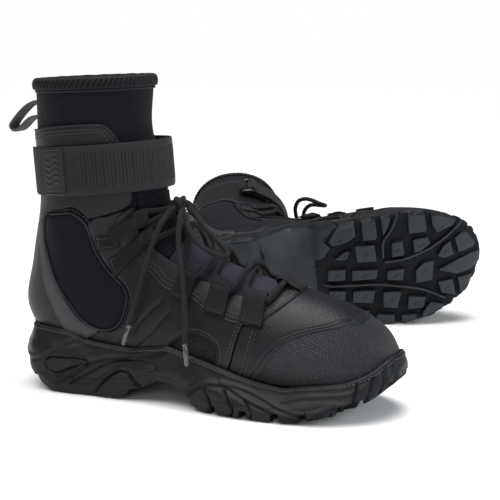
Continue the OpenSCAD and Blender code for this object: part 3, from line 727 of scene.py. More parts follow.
def aglet(end, tip):
    """Crimped lace tip with its mouth rolled in and a rounded point."""
    a, t = np.array(end, float), unit(np.array(tip, float) - np.array(end, float))
    s = unit(np.cross(t, SKEW))
    b = np.cross(t, s)
    along = np.array([0, 0.25, 0.8, 2.6, 2.9, 3.3, 3.6, 9, 15.5, 16.8, 17.5, 17.95]) / 18 * AGLET_LEN
    radius = np.array([1.3, 1.62, 1.75, 1.75, 1.6, 1.6, 1.75, 1.7, 1.62, 1.4, 0.95, 0.35])
    cosine, sine = ring_of(16)
    return rings((a + along[:, None] * t)[:, None] + radius[:, None, None] * (cosine * s + sine * b))


def free_cord(name, side, route, nodes, far_end="object", tip=None, **more):
    """A loose length of lace, with its tip if it has one."""
    line = curve(route, 0.8)
    body = f"{side}_boot"
    o = add(f"{side}_{name}", tube(line, LACE_D / 2, 14, taper=False), "lace", body,
        [f"{side}_{n}" for n in nodes])
    if tip:
        letter = name[-1]
        replaced = [f"{side}_aglets"] if letter == "a" else ()
        more["with_pieces"] = [add(f"{side}_aglet_{letter}", aglet(route[-1], tip), "aglet", body,
            replaced)]


free_cord("lace_end_a", "right", END_A, ["lace_end_a"], "fitting", END_A_TIP, lay="hanging")
free_cord("lace_end_b", "right", END_B, ["lace_end_b"], "fitting", END_B_TIP, lay="hanging")
free_cord("lace_end_a", "left", LEFT_END_A, ["lace_end_a"], "fitting", LEFT_A_TIP, lay="loose")
free_cord("lace_end_b", "left", LEFT_END_B, ["lace_end_b"], "fitting", LEFT_B_TIP, lay="loose")
for side in SIDES:
    free_cord("bow_lateral", side, place(BOW_LATERAL, side), ["lace_bow"])
free_cord("bow_medial", "right", BOW_MEDIAL, ())
free_cord("bow_medial", "left", LEFT_BOW_MEDIAL, ())

# the knot is a trefoil, pressed flat
a = np.linspace(0, 2 * np.pi, 61)[:-1]
knot = np.stack([np.sin(a) + 2 * np.sin(2 * a), np.cos(a) - 2 * np.cos(2 * a), -1.2 * np.sin(3 * a)], 1)
knot = 1.35 * knot[:, [2, 0, 1]] * [1.1, 1.5, 1.25] + KNOT
both("lace_knot", tube(curve(knot, 0.8, True), LACE_D / 2, 12, taper=False), "lace", ())

# the laced part: one strand climbs the loops to the knot, the other mirrors it
LOOP_V = [4.92, 5.85, 6.9, 9.05, 9.95]
LACE_U, LACE_OUT = 0.21, 7.8


def strand(s):
    """Lace up the loops, starting on side s and crossing over between them."""
    out = [(s * 0.1, 4.46, LACE_OUT), (s * 0.18, 4.56, LACE_OUT)]
    for i, v in enumerate(LOOP_V):
        w = s if i % 2 == 0 else -s
        out += [(w * LACE_U, v - 0.26, LACE_OUT), (w * LACE_U, v + 0.26, LACE_OUT)]
        if i < len(LOOP_V) - 1:
            out.append((0, (v + LOOP_V[i + 1]) / 2, 8.4 if w > 0 else 12.8))
    p = np.array(out)
    return skin(p[:, 0], p[:, 1], p[:, 2])


outer_strand = np.concatenate([strand(1), [[88, -13, 148]], [KNOT + [-3, -3, 0]]])
inner_strand = np.concatenate([strand(-1), [[88, 6, 148]], [KNOT + [-3, 4, 0]]])
route = np.concatenate([inner_strand[::-1], skin(0.0, 4.46, LACE_OUT)[None], outer_strand])
both("lace_laced", tube(curve(route, 0.9), LACE_D / 2, 14, taper=False), "lace", ["lace"])

# ---------------------------------------------------------------- bootie, hem
def skin_grid(u, v, out):
    """Grid over arrays of u and v, with its flat coordinates."""
    uu, vv = np.meshgrid(u, v)
    return skin(uu, vv, out), to_flat(np.stack([uu, vv], -1))


ROUND = -1 + np.arange(144) / 72
outer, outer_uv = skin_grid(ROUND, np.concatenate([[0.25, 0.4, 0.55], np.linspace(0.7, 14, 150)]), -0.4)
inner, inner_uv = skin_grid(ROUND, np.linspace(13.98, 1.2, 110), -3.4)
both("bootie", rings(np.concatenate([outer, inner]), np.concatenate([outer_uv, inner_uv])), "neoprene",
    ["sleeve"])

HEM_PROFILE = curve([(0.4, -6), (1.5, -6.6), (2.2, -5.6), (2.35, -2.5), (1.9, 0.6), (0.4, 2.0),
    (-1.6, 2.35), (-3.6, 2.0), (-5, 0.4), (-5.2, -2.5), (-4.9, -5.6), (-4.2, -6.2), (-3.7, -5.4),
    (-3.6, -1.4), (-1.7, -0.6), (0.2, -1.4)], 0.55, True)
HEM_STEPS, HEM_SLOTS = 720, 72
u = -1 + 2 * np.arange(HEM_STEPS) / HEM_STEPS
reach, rise = HEM_PROFILE.T
face = ease((reach + 0.4) / 1.2) * ease((rise + 5.4) / 1.2) * ease((1.2 - rise) / 1.2)
slots = 0.5 + 0.5 * np.cos(2 * np.pi * (HEM_SLOTS * (u[:, None] + 1) / 2 + rise * 0.13))
swell = 0.35 * bell(rise + 2.2, 2.2)
hem = skin(u[:, None], TOP, reach + (swell - 1.3 * slots**3) * face)
hem[:, :, 2] += rise + (0.1 * np.sin(23 * np.pi * u) + 0.08 * np.sin(14 * np.pi * u + 1))[:, None]
both("collar_hem", rings(hem, loop=True), "hem")
u = np.linspace(-1, 1, 400)
stitches = [dashes(skin(u, TOP, 0.15) + [0, 0, -8.0], skin(u, 13.7, 3.9) - skin(u, 13.7, 1.9), 2.6, 1.3,
    0.4, 0.5)]

# ---------------------------------------------------------------- leather pieces
MARGIN = 0.84
CAP_EDGE = np.array([[0, 2.6], [.145, 2.73], [.19, 3], [.25, 3.25], [.34, 3.95], [.4, 4.35], [.5, 4.75],
    [.67, 5.05], [MARGIN, 5.2]])
VAMP_EDGE = np.array([[0, 4.2], [.15, 4.22], [.25, 4.6], [.335, 5], [.37, 5.14], [.6, 5.37], [MARGIN, 5.5]])


def edge_at(table, u):
    """The piece's edge, smoothed, at |u|."""
    t = curve(table, 0.004)
    return np.interp(np.abs(u), t[:, 0], t[:, 1])


def span(table):
    """The edge from one side of the foot to the other."""
    u = np.linspace(-MARGIN, MARGIN, 29)
    return list(zip(u.tolist(), edge_at(table, u).tolist()))


cap_cols = np.linspace(-MARGIN, MARGIN, 190)


def cap_sheet(v, out, low):
    """Sheet over the toe, from side to side; v and out run along it in rows."""
    u = np.broadcast_to(cap_cols, v.shape)
    return slab(skin(u, v, out[:, None]), skin(u, v, low), to_flat(np.stack([u, v], -1)))


# toe cap: a knurled middle inside a smooth double ridge
edge = edge_at(CAP_EDGE, cap_cols)
share = np.linspace(0, 1, 110)
cap_out = 2.35 - 0.5 * ease((share - 0.93) / 0.07)
both("toe_cap", cap_sheet(0.12 + (edge - 0.2 - 0.12) * share[:, None], cap_out, 0.7), "toe")
share = np.linspace(0, 1, 34)
ridge = 1.5 + 1.2 * np.sqrt(np.clip(1 - (2 * share - 1) ** 4, 0, 1))
ridge -= 0.75 * bell(share - 0.52, 0.11)
both("toe_ridge", cap_sheet(edge - 0.24 + 0.27 * share[:, None], ridge, 0.65), "bumper", ())

SEAM = [(-.648, 5.12), (-.461, 4.92), (-.363, 4.82)]
vamp_outline = span(CAP_EDGE) + span(VAMP_EDGE)[::-1]
both("vamp", patch([vamp_outline], 0.6, 2.0, grooves=[(SEAM, 0.5, 0.8), (mirror_uv(SEAM), 0.5, 0.8)]),
    "leather")
for seam in (mirror_uv(SEAM), SEAM):
    stitches += [sewn(seam, 2.0, offset=1.5), sewn(seam, 2.0, offset=-1.5)]

PANEL = [(.703, 11.66), (.64, 11.6), (.574, 11.5), (.52, 11.4), (.484, 11.22), (.45, 10.95), (.431, 10.7),
    (.41, 10.2), (.401, 9.79), (.394, 9.2), (.395, 8.7), (.402, 8.4), (.43, 8.12), (.5, 7.97), (.56, 8.08),
    (.585, 8.3), (.571, 8.7), (.556, 9.3), (.562, 9.8), (.579, 10.27), (.62, 10.75), (.67, 11.2)]
WINDOW = [(.547, 6.82), (.485, 6.58), (.450, 6.22), (.456, 5.84), (.493, 5.65), (.569, 5.68), (.667, 5.86),
    (.65, 6.05), (.592, 6.3), (.57, 6.6)]
QUARTER = [(.84, 5.6), (.72, 5.5), (.6, 5.41), (.47, 5.28), (.39, 5.2), (.335, 5.12), (.29, 5.4), (.275, 6),
    (.268, 7), (.262, 8), (.258, 9), (.26, 10), (.27, 10.5), (.34, 10.68), (.40, 10.85), (.425, 10.72),
    (.402, 10.2), (.391, 9.8), (.384, 9.2), (.385, 8.65), (.393, 8.33), (.425, 8.03), (.5, 7.86),
    (.57, 7.98), (.602, 8.25), (.66, 8.36), (.74, 8.44), (.86, 8.5), (.865, 7.6), (.862, 6.6)]
GROOVES = [[(.642, 7.75), (.482, 7.56), (.375, 7.33)], [(.626, 7.41), (.483, 7.21), (.401, 7.04)]]


def round_heel(points):
    """The same points on the other side of the heel, in the opposite order."""
    return [(2 - u, v) for u, v in points[::-1]]


def grown(points, by):
    """The outline moved outwards, in flat millimetres; by may be below zero."""
    c = curve(to_flat(points), 2.0, True)
    return np.stack(from_flat(c - by * turning(c) * left_of(c, True)), 1)


def two_sides(make):
    """One mesh for the outer and the inner side of the upper."""
    return join([make(list), make(mirror_uv)])


for name, flip in (("quarter_lateral", list), ("quarter_medial", mirror_uv)):
    lines = [(flip(g), 0.75, 0.9) for g in GROOVES]
    both(name, patch([flip(QUARTER), flip(WINDOW)], 0.6, 2.0, grooves=lines), "leather")
both("drain_mesh", two_sides(lambda f: patch([f(grown(WINDOW, 3.0))], -0.3, 0.45)), "mesh")
both("window_rim", two_sides(lambda f: cord_on(f(grown(WINDOW, 0.6)), 1.95, 0.75, True)), "leather", ())
padding = both("ankle_panels", two_sides(lambda f: patch([f(PANEL)], 0.2, 1.5, edge=2.0, crown=1.7)),
    "panel")
both("panel_piping", two_sides(lambda f: cord_on(f(grown(PANEL, 0.9)), 1.75, 1.0, True)), "bumper", ())
STAY = [(.60, 8.3), (.68, 8.42), (.73, 8.6), (.705, 8.78), (.668, 9.1), (.642, 9.5), (.636, 9.95),
    (.65, 10.4), (.688, 10.85), (.745, 11.25), (.79, 11.5), (.73, 11.68), (.7, 11.5), (.66, 11.1),
    (.612, 10.6), (.578, 10.1), (.568, 9.6), (.572, 9.1), (.585, 8.7)]
both("heel_stay", two_sides(lambda f: patch([f(STAY)], 0.9, 2.7, edge=1.3, crown=0.5)), "stay")
COUNTER_LOW = [(.86, 8.55), (.78, 8.5), (.71, 8.56)] + [(u - 0.034, v) for u, v in STAY[3:10]]
COUNTER_LOW += [(.8, 11.56), (.9, 11.62), (1, 11.66)]
COUNTER = COUNTER_LOW + round_heel(COUNTER_LOW[:-1]) + [(1.14, 8.7), (1.0, 8.75), (.92, 8.62)]
both("heel_counter", patch([COUNTER], 0.6, 1.95), "leather")
CUFF_TOP = [(.219, 12.5), (.250, 12.65), (.267, 12.83), (.296, 13.02), (.338, 13.12), (.443, 13.16),
    (.620, 13.18), (.773, 13.16), (.88, 13.15), (1, 13.14)]
CUFF_LOW = [(1, 11.62), (.9, 11.6), (.8, 11.52), (.74, 11.66), (.66, 11.72), (.574, 11.62), (.5, 11.5),
    (.45, 11.2), (.42, 10.95), (.34, 10.74), (.27, 10.6), (.225, 10.7), (.215, 11.6)]
cuff = CUFF_TOP + round_heel(CUFF_TOP[:-1]) + round_heel(CUFF_LOW) + CUFF_LOW[1:]
both("cuff", patch([cuff], 0.6, 2.0, step=3.2), "leather")
cuff_edge = [(.225, 11.9)] + CUFF_TOP + round_heel(CUFF_TOP[:-1]) + [(1.775, 11.9)]
both("cuff_piping", cord_on(cuff_edge, 1.5, 0.95), "bumper", ())
stitches += [sewn(cuff_edge, 2.0, offset=-3.2), sewn(cuff_edge, 2.0, offset=-5.6)]

EYE_OUT = [(.295, 10.45), (.311, 10.09), (.308, 9.6), (.296, 9.0), (.291, 8.52), (.300, 7.9), (.319, 7.4),
    (.311, 6.9), (.311, 6.5), (.33, 6.1), (.340, 5.7), (.342, 5.3), (.322, 4.85), (.24, 4.42), (.148, 4.16),
    (.07, 4.07)]
EYE_IN = [(.07, 4.46), (.12, 4.53), (.175, 4.78), (.207, 5.2), (.213, 5.9), (.213, 6.6), (.21, 7.4),
    (.213, 8.4), (.22, 9.3), (.222, 10.0), (.222, 10.45)]
whole_edge = EYE_OUT + [(0, 4.05)] + mirror_uv(EYE_OUT)[::-1]
eyestay = whole_edge + mirror_uv(EYE_IN)[::-1] + [(0, 4.43)] + EYE_IN
both("eyestay", patch([eyestay], 1.6, 3.4, edge=1.0, rim=0.4), "leather")
both("eyestay_piping", cord_on(whole_edge, 2.55, 0.9), "bumper", ())
stitches += [sewn(whole_edge, 3.38, offset=-2.4), sewn(whole_edge, 3.38, offset=-5.0)]
TABS = [[(.388, 10.31), (.35, 10.12), (.300, 9.93), (.305, 9.7), (.318, 9.52), (.36, 9.7), (.392, 9.9),
    (.392, 10.1)],
        [(.368, 9.42), (.33, 9.34), (.285, 9.23), (.29, 9.0), (.300, 8.75), (.34, 8.78), (.382, 8.84),
            (.378, 9.1)]]
both("loop_tabs", join([two_sides(lambda f, t=t: patch([f(t)], 1.8, 3.9, edge=0.8)) for t in TABS]),
    "webbing", ())
for t in TABS:
    for flip in (list, mirror_uv):
        stitches.append(sewn(flip(grown(t, -2.2)), 3.9, True, 2.6, size=1.0))
for sign, flip in ((1, list), (-1, mirror_uv)):
    stitches += [sewn(flip(VAMP_EDGE[3:]), 2.0, offset=sign * offset) for offset in (2.0, 4.2)]
    stitches.append(sewn(flip(grown(PANEL, 3.2)), 1.98, True))
    stitches.append(sewn(flip(grown(WINDOW, 2.6)), 1.98, True, 2.8))
    stitches.append(sewn(flip(grown(STAY, -1.7)), 2.75, True))

# tongue: neoprene seen through the lacing, and padded above
TONGUE_LOW = [(-.2, 4.75), (0, 4.5), (.2, 4.75), (.214, 5.6), (.214, 6.6), (.212, 7.7), (0, 7.75),
    (-.212, 7.7), (-.214, 6.6), (-.214, 5.6)]
TONGUE_HIGH = [(-.205, 7.8), (0, 7.82), (.205, 7.8), (.2, 9), (.195, 10.2), (.2, 11.4), (.19, 12.35),
    (0, 12.45), (-.19, 12.35), (-.2, 11.4), (-.195, 10.2), (-.2, 9)]
padding += both("tongue_low", patch([TONGUE_LOW], -0.2, 1.5, edge=2, crown=0.9), "tongue", ())
ribs = [[(-.19, v), (0, v - 0.05), (.19, v)] for v in (8.5, 9.2, 9.9, 10.6, 11.4)]
padding += both("tongue_pad", patch([TONGUE_HIGH], -0.2, 1.8, edge=2, crown=1.2,
    grooves=[(r, 1.2, 1.5) for r in ribs]), "panel")

# ---------------------------------------------------------------- webbing loops for the lace
LACING_WIDTH = 125  # millimetres for one unit of u across the lacing
LOOP_PATH = curve([(u * LACING_WIDTH, out) for u, out in ((.335, 4.15), (.30, 4.1), (.27, 4.1), (.215, 4.6),
    (.186, 5.6), (.174, 7.7), (.184, 9.7), (.210, 10.6), (.245, 8.9), (.285, 6.3), (.335, 5.3))], 0.9)
LOOP_HALF = 0.275


def selvedge(share, power, least):
    """How thick webbing is over its width, from -1 to 1, against its middle."""
    return np.sqrt(np.clip(1 - np.abs(share) ** power, least, 1))


def ribbon(path, half, thick, lip, place_at):
    """Webbing along a flat path; place_at(x, share, y) gives the points of one face."""
    share = np.linspace(-1, 1, len(lip))
    faces = []
    for s in (1, -1):
        p = path[:, None] + s * thick / 2 * lip[:, None] * left_of(path)[:, None]
        faces.append(place_at(p[..., 0], share, p[..., 1]))
    return slab(*faces, np.stack(np.broadcast_arrays(run_of(path)[:, None], share * half), -1))


def lace_loop(place_at):
    """Loop of webbing at place_at(u, share, out)."""
    lip = selvedge(np.linspace(-1, 1, 19), 6, 0.02)
    return ribbon(LOOP_PATH, 8.3, 1.1, lip, lambda x, w, out: skin(*place_at(x / LACING_WIDTH, w, out)))


loops = [lace_loop(lambda u, w, out, s=s, v=v: (s * u, v + w * LOOP_HALF, out))
         for v in LOOP_V for s in (1, -1)]
loops.append(lace_loop(lambda u, w, out: (w * 0.075, 4.08 + (0.33 - u) * 3.6, out)))
both("lace_loops", join(loops), "webbing")
for v in LOOP_V[:3]:
    for s in (1, -1):
        stitches.append(sewn([(s * .325, v - .2), (s * .325, v), (s * .325, v + .2)], 5.75, pitch=2.2,
            size=0.8))

# ---------------------------------------------------------------- sole
SOLE_PLAN = [[277, 6], [269, -21], [251, -40], [222, -52], [188, -56], [150, -54], [112, -46],
    [75, -41], [35, -40], [0, -40], [-24, -33], [-38, -16], [-41, 1], [-37, 18], [-22, 34], [0, 40],
    [35, 40], [80, 41], [115, 43], [150, 48], [185, 53], [215, 54], [246, 46], [267, 30]]
PLAN = curve(SOLE_PLAN, 0.4, True)
PLAN_OUT = left_of(PLAN, True)
XS = np.arange(-70.0, 311.0)


def profile_line(points, soft=2.5):
    """Height over x through the points, softened at its corners."""
    p = np.array(points, float)
    z = np.pad(np.interp(XS, p[:, 0], p[:, 1]), 12, mode="edge")
    z = np.convolve(z, softening(12, soft), "valid")
    return lambda x: np.interp(x, XS, z)


tread_z = profile_line([[-50, 34], [-38, 20], [-26, 13], [-13, 5], [-4, 0], [58, 0], [62, 4], [78, 12],
    [90, 18], [104, 17], [114, 13], [118, 5], [130, 0], [198, 0], [212, 2], [230, 6], [246, 12], [258, 18],
    [270, 27], [290, 42]], 2.0)
part_z = profile_line([[-50, 36], [-38, 24], [-26, 18], [-8, 14], [30, 14], [60, 18], [90, 24], [104, 22.5],
    [118, 17], [135, 12], [200, 11], [222, 14], [240, 20], [255, 28], [266, 38], [270, 44]])
rim_z = profile_line([[-50, 50], [-20, 51], [3, 50.5], [13, 49], [21, 45], [34, 42.5], [48, 41.5], [62, 41],
    [73, 42], [85, 44.5], [98, 46.5], [105, 45], [120, 41], [141, 35.5], [167, 28.5], [182, 25.6],
    [195, 24], [207, 26.5], [223, 28.5], [240, 30.5], [251, 34], [260, 38.5], [267, 43.5], [272, 47.5]],
    2.0)
depth_z = profile_line([[-60, 5], [52, 6.5], [60, 4], [72, 0], [112, 0], [120, 5], [132, 6.5], [240, 5.5],
    [262, 3.5], [290, 3.5]])
arch_edge = profile_line([(42, 58), (55, 38), (64, 26), (74, 18), (86, 12), (98, 11), (110, 15), (122, 24),
    (134, 36), (146, 50), (156, 64)], 3.0)


def arch(x, y):
    """How far the sole rises under the inner side of the arch."""
    return 15.0 * np.clip((y - arch_edge(x)) / 27, 0, 1) ** 1.35


def low_z(x, y):
    """Height of the lugs' tops."""
    return tread_z(x) + arch(x, y)


def part_at(x, y):
    """Height where the outsole ends and the side wall starts."""
    return np.maximum(part_z(x), low_z(x, y) + 2.2)


LUGS = [
    [(99, 2), (118, 5), (112, -6), (102, -10), (96, -5)],
    [(104, 15), (112, 25), (123, 33), (131, 27), (125, 17), (114, 11)],
    [(129, 32), (135, 41), (155, 60), (156, 36), (148, 31), (134, 27.5)],
    [(133, 14), (145, 22), (150, 21), (145, 12.5)],
    [(162, 60), (175, 60), (176.5, 36), (175, 31), (162, 31)],
    [(154, 26), (173.5, 26.5), (174.5, 9.5), (155, 9.5)],
    [(127, 4), (144, 4), (143, -7.5), (125, -7.5)], [(149.5, 2), (175, 1.5), (173, -8.5), (149, -8.5)],
    [(183, -1), (200, 0.5), (198, -12), (182, -10)], [(189, 27), (200, 28), (201, 13.5), (188.5, 12)],
    [(180, 62), (194, 62), (187, 42), (181.5, 33)], [(206, 62), (222, 62), (224, 34), (206, 34)],
    [(209.5, 28), (224, 29), (227, 22), (217, 15.5), (210, 14)],
    [(228, 62), (258, 52), (250, 36), (233, 31), (228.5, 40)],
    [(232, 8), (238.5, 17.5), (245.5, 21), (249, 6.2), (238, 4.5)],
    [(249.5, 22.5), (257, 27), (262, 26), (270, 14), (268, 8.5), (253, 7)],
    [(231, -6), (250, 0.5), (264, 3.5), (276, 4), (276, -6), (264, -13), (250, -14)],
    [(210, -3), (219, 4), (229, 4.5), (226, -15.5), (210, -16)],
    [(231, -18), (246, -17.7), (248.5, -35.5), (234, -30)],
    [(250.5, -17.6), (266, -17), (262, -30), (254.5, -39), (252.5, -36)],
    [(149, -19), (171, -19.5), (168, -33), (148, -31)], [(178, -22), (196, -22.5), (191, -40), (177, -38)],
    [(202, -28), (219, -31), (216, -42), (200, -42)], [(126, -17), (143, -18), (141, -30), (125, -28)],
    [(119, -34), (139, -36), (138, -66), (118, -66)], [(144, -38), (164, -40), (162, -66), (143, -66)],
    [(170, -44), (188, -46), (187, -66), (168, -66)], [(194, -47), (209, -47), (208, -66), (193, -66)],
    [(214, -47), (223, -37), (235, -41), (234, -66), (214, -66)],
    [(239, -43), (250, -46), (258, -62), (240, -66)],
]
BANDS = [([(181, 8), (192, 8.5), (205, 10.5), (225, 17), (242, 26), (262, 40)], 2.6),
    ([(122, -12.3), (147, -13.2), (172, -14), (192, -17), (215, -23), (238, -36)], 2.4),
         ([(180.5, 12), (181.5, 28), (190, 40), (201, 62)], 2.6)]
for a, b in ((-36, -20), (-15, 9), (15, 32), (38, 63)):
    LUGS.append([(a + 3, -11.5), (b - 1, -11.5), (b - 1, 11.5), (a + 3, 11.5)])
comb = [(-52, 62), (65, 62), (64, 17), (38, 17), (38, 34), (33, 34), (32, 17), (15, 17), (15, 34),
    (9.5, 34), (8, 17), (-12, 17), (-15, 34), (-20, 34), (-20, 17), (-33, 17), (-52, 25)]
LUGS += [comb, [(x, -y) for x, y in comb]]


def rounded(points, r=1.3, step=2.5):
    """Polygon with small round corners and points along its sides."""
    p = np.array(points, float)
    out = []
    for i in range(len(p)):
        a, b, c = p[i - 1], p[i], p[(i + 1) % len(p)]
        r1, r2 = min(r, np.linalg.norm(a - b) * 0.4), min(r, np.linalg.norm(c - b) * 0.4)
        s, e = b + unit(a - b) * r1, b + unit(c - b) * r2
        out += [s * (1 - t) ** 2 + 2 * b * t * (1 - t) + e * t * t for t in (0, 0.33, 0.67, 1)]
        nxt = p[(i + 1) % len(p)]
        end = nxt + unit(b - nxt) * min(r, np.linalg.norm(b - nxt) * 0.4)
        count = int(np.linalg.norm(end - e) / step)
        out += [e + (end - e) * k / (count + 1) for k in range(1, count + 1)]
    return np.array(out)


def band_outline(points, width):
    """Outline of a strip along the points."""
    c = curve(points, 2.5)
    n = left_of(c) * width / 2
    return np.concatenate([c + n, (c - n)[::-1]])


def widened(p, by):
    """Closed outline moved outwards."""
    t = unit(unit(p - np.roll(p, 1, 0)) + unit(np.roll(p, -1, 0) - p))
    return p + by * turning(p) * np.stack([t[:, 1], -t[:, 0]], 1)


def densify(p, step=0.5):
    """Closed outline with points about a step apart."""
    out = []
    for a, b in zip(p, np.roll(p, -1, 0)):
        out.append(a + (b - a) * np.arange(0, 1, step / max(np.linalg.norm(b - a), step))[:, None])
    return np.concatenate(out)


shapes = [rounded(l) for l in LUGS] + [band_outline(*b) for b in BANDS]
shape_line = np.concatenate([densify(s) for s in shapes])
INSET = 2.2
LUG_SLOPE = 0.45
LUG_EDGE_SPACE = 0.35
bound = (PLAN - INSET * PLAN_OUT)[::3]
sole_lines = [bound] + [widened(s, LUG_SLOPE) for s in shapes] + [widened(s, -LUG_SLOPE) for s in shapes]
marks = []
for lug in LUGS:
    p = np.array(lug, float)
    if (np.abs(p[:, 1]) > 50).any():
        p = p[(p[:, 0] > -36) & (np.abs(p[:, 1]) < 50)]
    if len(p) > 2 and np.ptp(p[:, 0]) > 11 and np.ptp(p[:, 1]) > 8 and len(lug) < 7:
        marks.append(p.mean(0) + np.linspace(-1, 1, 23)[:, None] * [2.6, 1.6])
mark_line = np.concatenate(marks)
free = [mark_line + d for d in ((0, 0), (0.9, 0), (0, 0.9), (-0.9, 0), (0, -0.9))]
free += [widened(s, -1.1) for s in shapes]
gx, gy = np.meshgrid(np.arange(-45, 280, 3.2), np.arange(-60, 60, 3.2))
free = np.concatenate(free + [np.stack([gx.ravel(), gy.ravel()], 1)])
free = free[inside(free, [bound])]
free = free[nearest(free, bound) > 0.8]
free = free[nearest(free, np.concatenate([densify(l) for l in sole_lines[1:]])) > LUG_EDGE_SPACE]
points = np.concatenate(sole_lines + [thinned(free, 0.5)])
v2, f2 = triangulated(points, ring_edges(sole_lines), [bound], 1e-4)
on_lug = np.zeros(len(v2), bool)
for s in shapes:
    on_lug |= inside(v2, [s])
signed = nearest(v2, shape_line) * np.where(on_lug, 1, -1)
edge_drop = nearest(v2, densify(bound, 0.8))
top_z = low_z(v2[:, 0], v2[:, 1]) + 0.9 * (1 - ease(edge_drop / 4))
depth = depth_z(v2[:, 0]) * (1 - ease(arch(v2[:, 0], v2[:, 1]) / 3))
floor_z = top_z + depth
mix = np.clip((signed + LUG_SLOPE) / (2 * LUG_SLOPE), 0, 1)
bevel = np.minimum(0.5, depth * 0.2) * (1 - ease((signed - LUG_SLOPE) / 0.65))
z2 = floor_z * (1 - mix) + (top_z + bevel) * mix
z2 += 0.7 * bell(nearest(v2, mark_line), 0.55) * (signed > 0.5) * (depth > 2)

# the boundary loop in order
follow = dict(open_edges(f2, len(v2)).tolist())
loop, at = [], next(iter(follow))
while not loop or at != loop[0]:
    loop.append(at)
    at = follow[at]
loop = np.array(loop)

# the side wall's relief, in x and z: raised lines (height, width, depth of the dip below), cut lines
# (depth, width) and sunk shapes (depth)
RIDGES = [
    ([(3, 12), (18, 20), (30, 28), (45, 32), (60, 34.5), (75, 38), (88, 42), (97, 45)], 1.5, 1.3, -1.3),
    ([(117, 13), (124, 20), (133, 24.5), (148, 24.5), (158, 21), (170, 16), (183, 11.5), (197, 7.5),
      (208, 6)], 1.5, 1.3, -1.2),
    ([(146, 26.5), (165, 22.5), (180, 17.5), (195, 12), (212, 9.5), (226, 12)], 1.1, 1.2, -0.7),
    ([(214, 5), (222, 10.5), (232, 16), (243, 16.5), (251, 12.5), (254, 9)], 1.4, 1.3, -1.2),
    ([(196, 16), (210, 20), (226, 22), (244, 24), (258, 31)], 0.8, 1.4, -0.4),
    ([(-38, 30), (-24, 27), (-12, 30), (-2, 36), (12, 42), (24, 45.5)], 0.9, 1.3, -0.8),
]
CUTS = [
    ([(-8, 24), (-7, 20), (-2, 17), (4, 17), (15, 21.5), (29, 26.3), (30, 28), (22, 29.5), (5, 29.5),
      (-5, 28), (-8, 24)], 2.4, 0.75),
    ([(14, 9), (26, 16), (37, 22.5), (48, 28), (60, 31), (80, 33), (90, 31), (91, 28)], 1.92, 0.9),
    ([(36, 4), (42, 11), (50, 18.5), (58, 23), (66, 22), (71, 16), (75, 12)], 2.08, 0.9),
    ([(136, 0), (139, 9), (134, 20)], 2.72, 0.9), ([(154, 0), (158, 8), (150, 20)], 2.72, 0.9),
    ([(171, 0), (173, 7), (168, 14)], 2.08, 0.8), ([(190, 0), (190, 7)], 1.76, 0.8),
    ([(210, 0), (211, 7)], 1.6, 0.8), ([(232, 4), (233, 13)], 1.6, 0.8),
    ([(243, 9), (248, 20), (251, 31)], 2.4, 0.9), ([(254, 13), (258, 24), (261, 35)], 2.4, 0.9),
    ([(262, 18), (266, 29), (268, 41)], 2.24, 0.9), ([(270, 22), (272, 32), (273, 42)], 1.92, 0.9),
]
SUNK = [
    (CUTS[0][0], 0.8),
    ([(14, 9), (37, 22.5), (60, 31), (80, 33), (91, 30), (89, 25), (74, 24.5), (60, 25), (46, 19),
      (32, 9)], 0.9),
    ([(36, 2), (42, 11), (50, 18.5), (58, 23), (66, 22), (71, 16), (76, 8), (76, 0), (36, 0)], -1.1),
    ([(117, 2), (124, 18), (133, 23), (148, 23), (158, 19.5), (170, 14), (183, 9.5), (190, 6),
      (190, 0)], -0.7),
]


def wall_relief(x, z):
    """How far the side wall stands out at x and z."""
    p = np.stack([x.ravel(), z.ravel()], 1)
    out = np.zeros(len(p))
    for points, h, w, low in RIDGES:
        line = curve(points, 0.5)
        out += h * bell(nearest(p, line), w) + low * bell(nearest(p, line - (0, 2.6)), 1.6)
    for points, h, w in CUTS:
        out -= h * bell(nearest(p, curve(points, 0.5)), w)
    for shape, h in SUNK:
        c = densify(np.array(shape, float), 0.7)
        out -= h * ease(nearest(p, c) / 1.6) * inside(p, [c])
    out += 2.0 * bell(p[:, 0] + 24, 11) * bell(p[:, 1] - 45.5, 4.6) * (p[:, 0] < 0)
    out += 0.12 * np.sin(p[:, 0] * 0.31 + p[:, 1] * 0.4)
    return out.reshape(x.shape)


# how far the upper's face lies inside the plan at the rim's height
rim_v = np.concatenate([np.linspace(0.02, 1.6, 120), np.linspace(1.62, 9.8, 500)])
upper = skin(*np.meshgrid(np.linspace(-1, 1, 1201), rim_v), 2.2).reshape(-1, 3)
upper = upper[np.abs(upper[:, 2] - rim_z(upper[:, 0])) < 0.7][:, :2]
lean = np.full(len(PLAN), np.nan)
for i in range(0, len(PLAN), 4):
    d = PLAN[i] - upper
    deep = d @ PLAN_OUT[i]
    near = (np.abs(d @ [-PLAN_OUT[i][1], PLAN_OUT[i][0]]) < 1.6) & (deep > -4) & (deep < 24)
    if near.any():
        lean[i] = deep[near].min()
known = ~np.isnan(lean)
lean = np.interp(np.arange(len(PLAN)), np.flatnonzero(known), lean[known], period=len(PLAN))
lean = np.convolve(np.concatenate([lean[-30:], lean, lean[:30]]), softening(30, 10), "valid")
lean = np.clip(lean - 2.4, -1.0, 12)


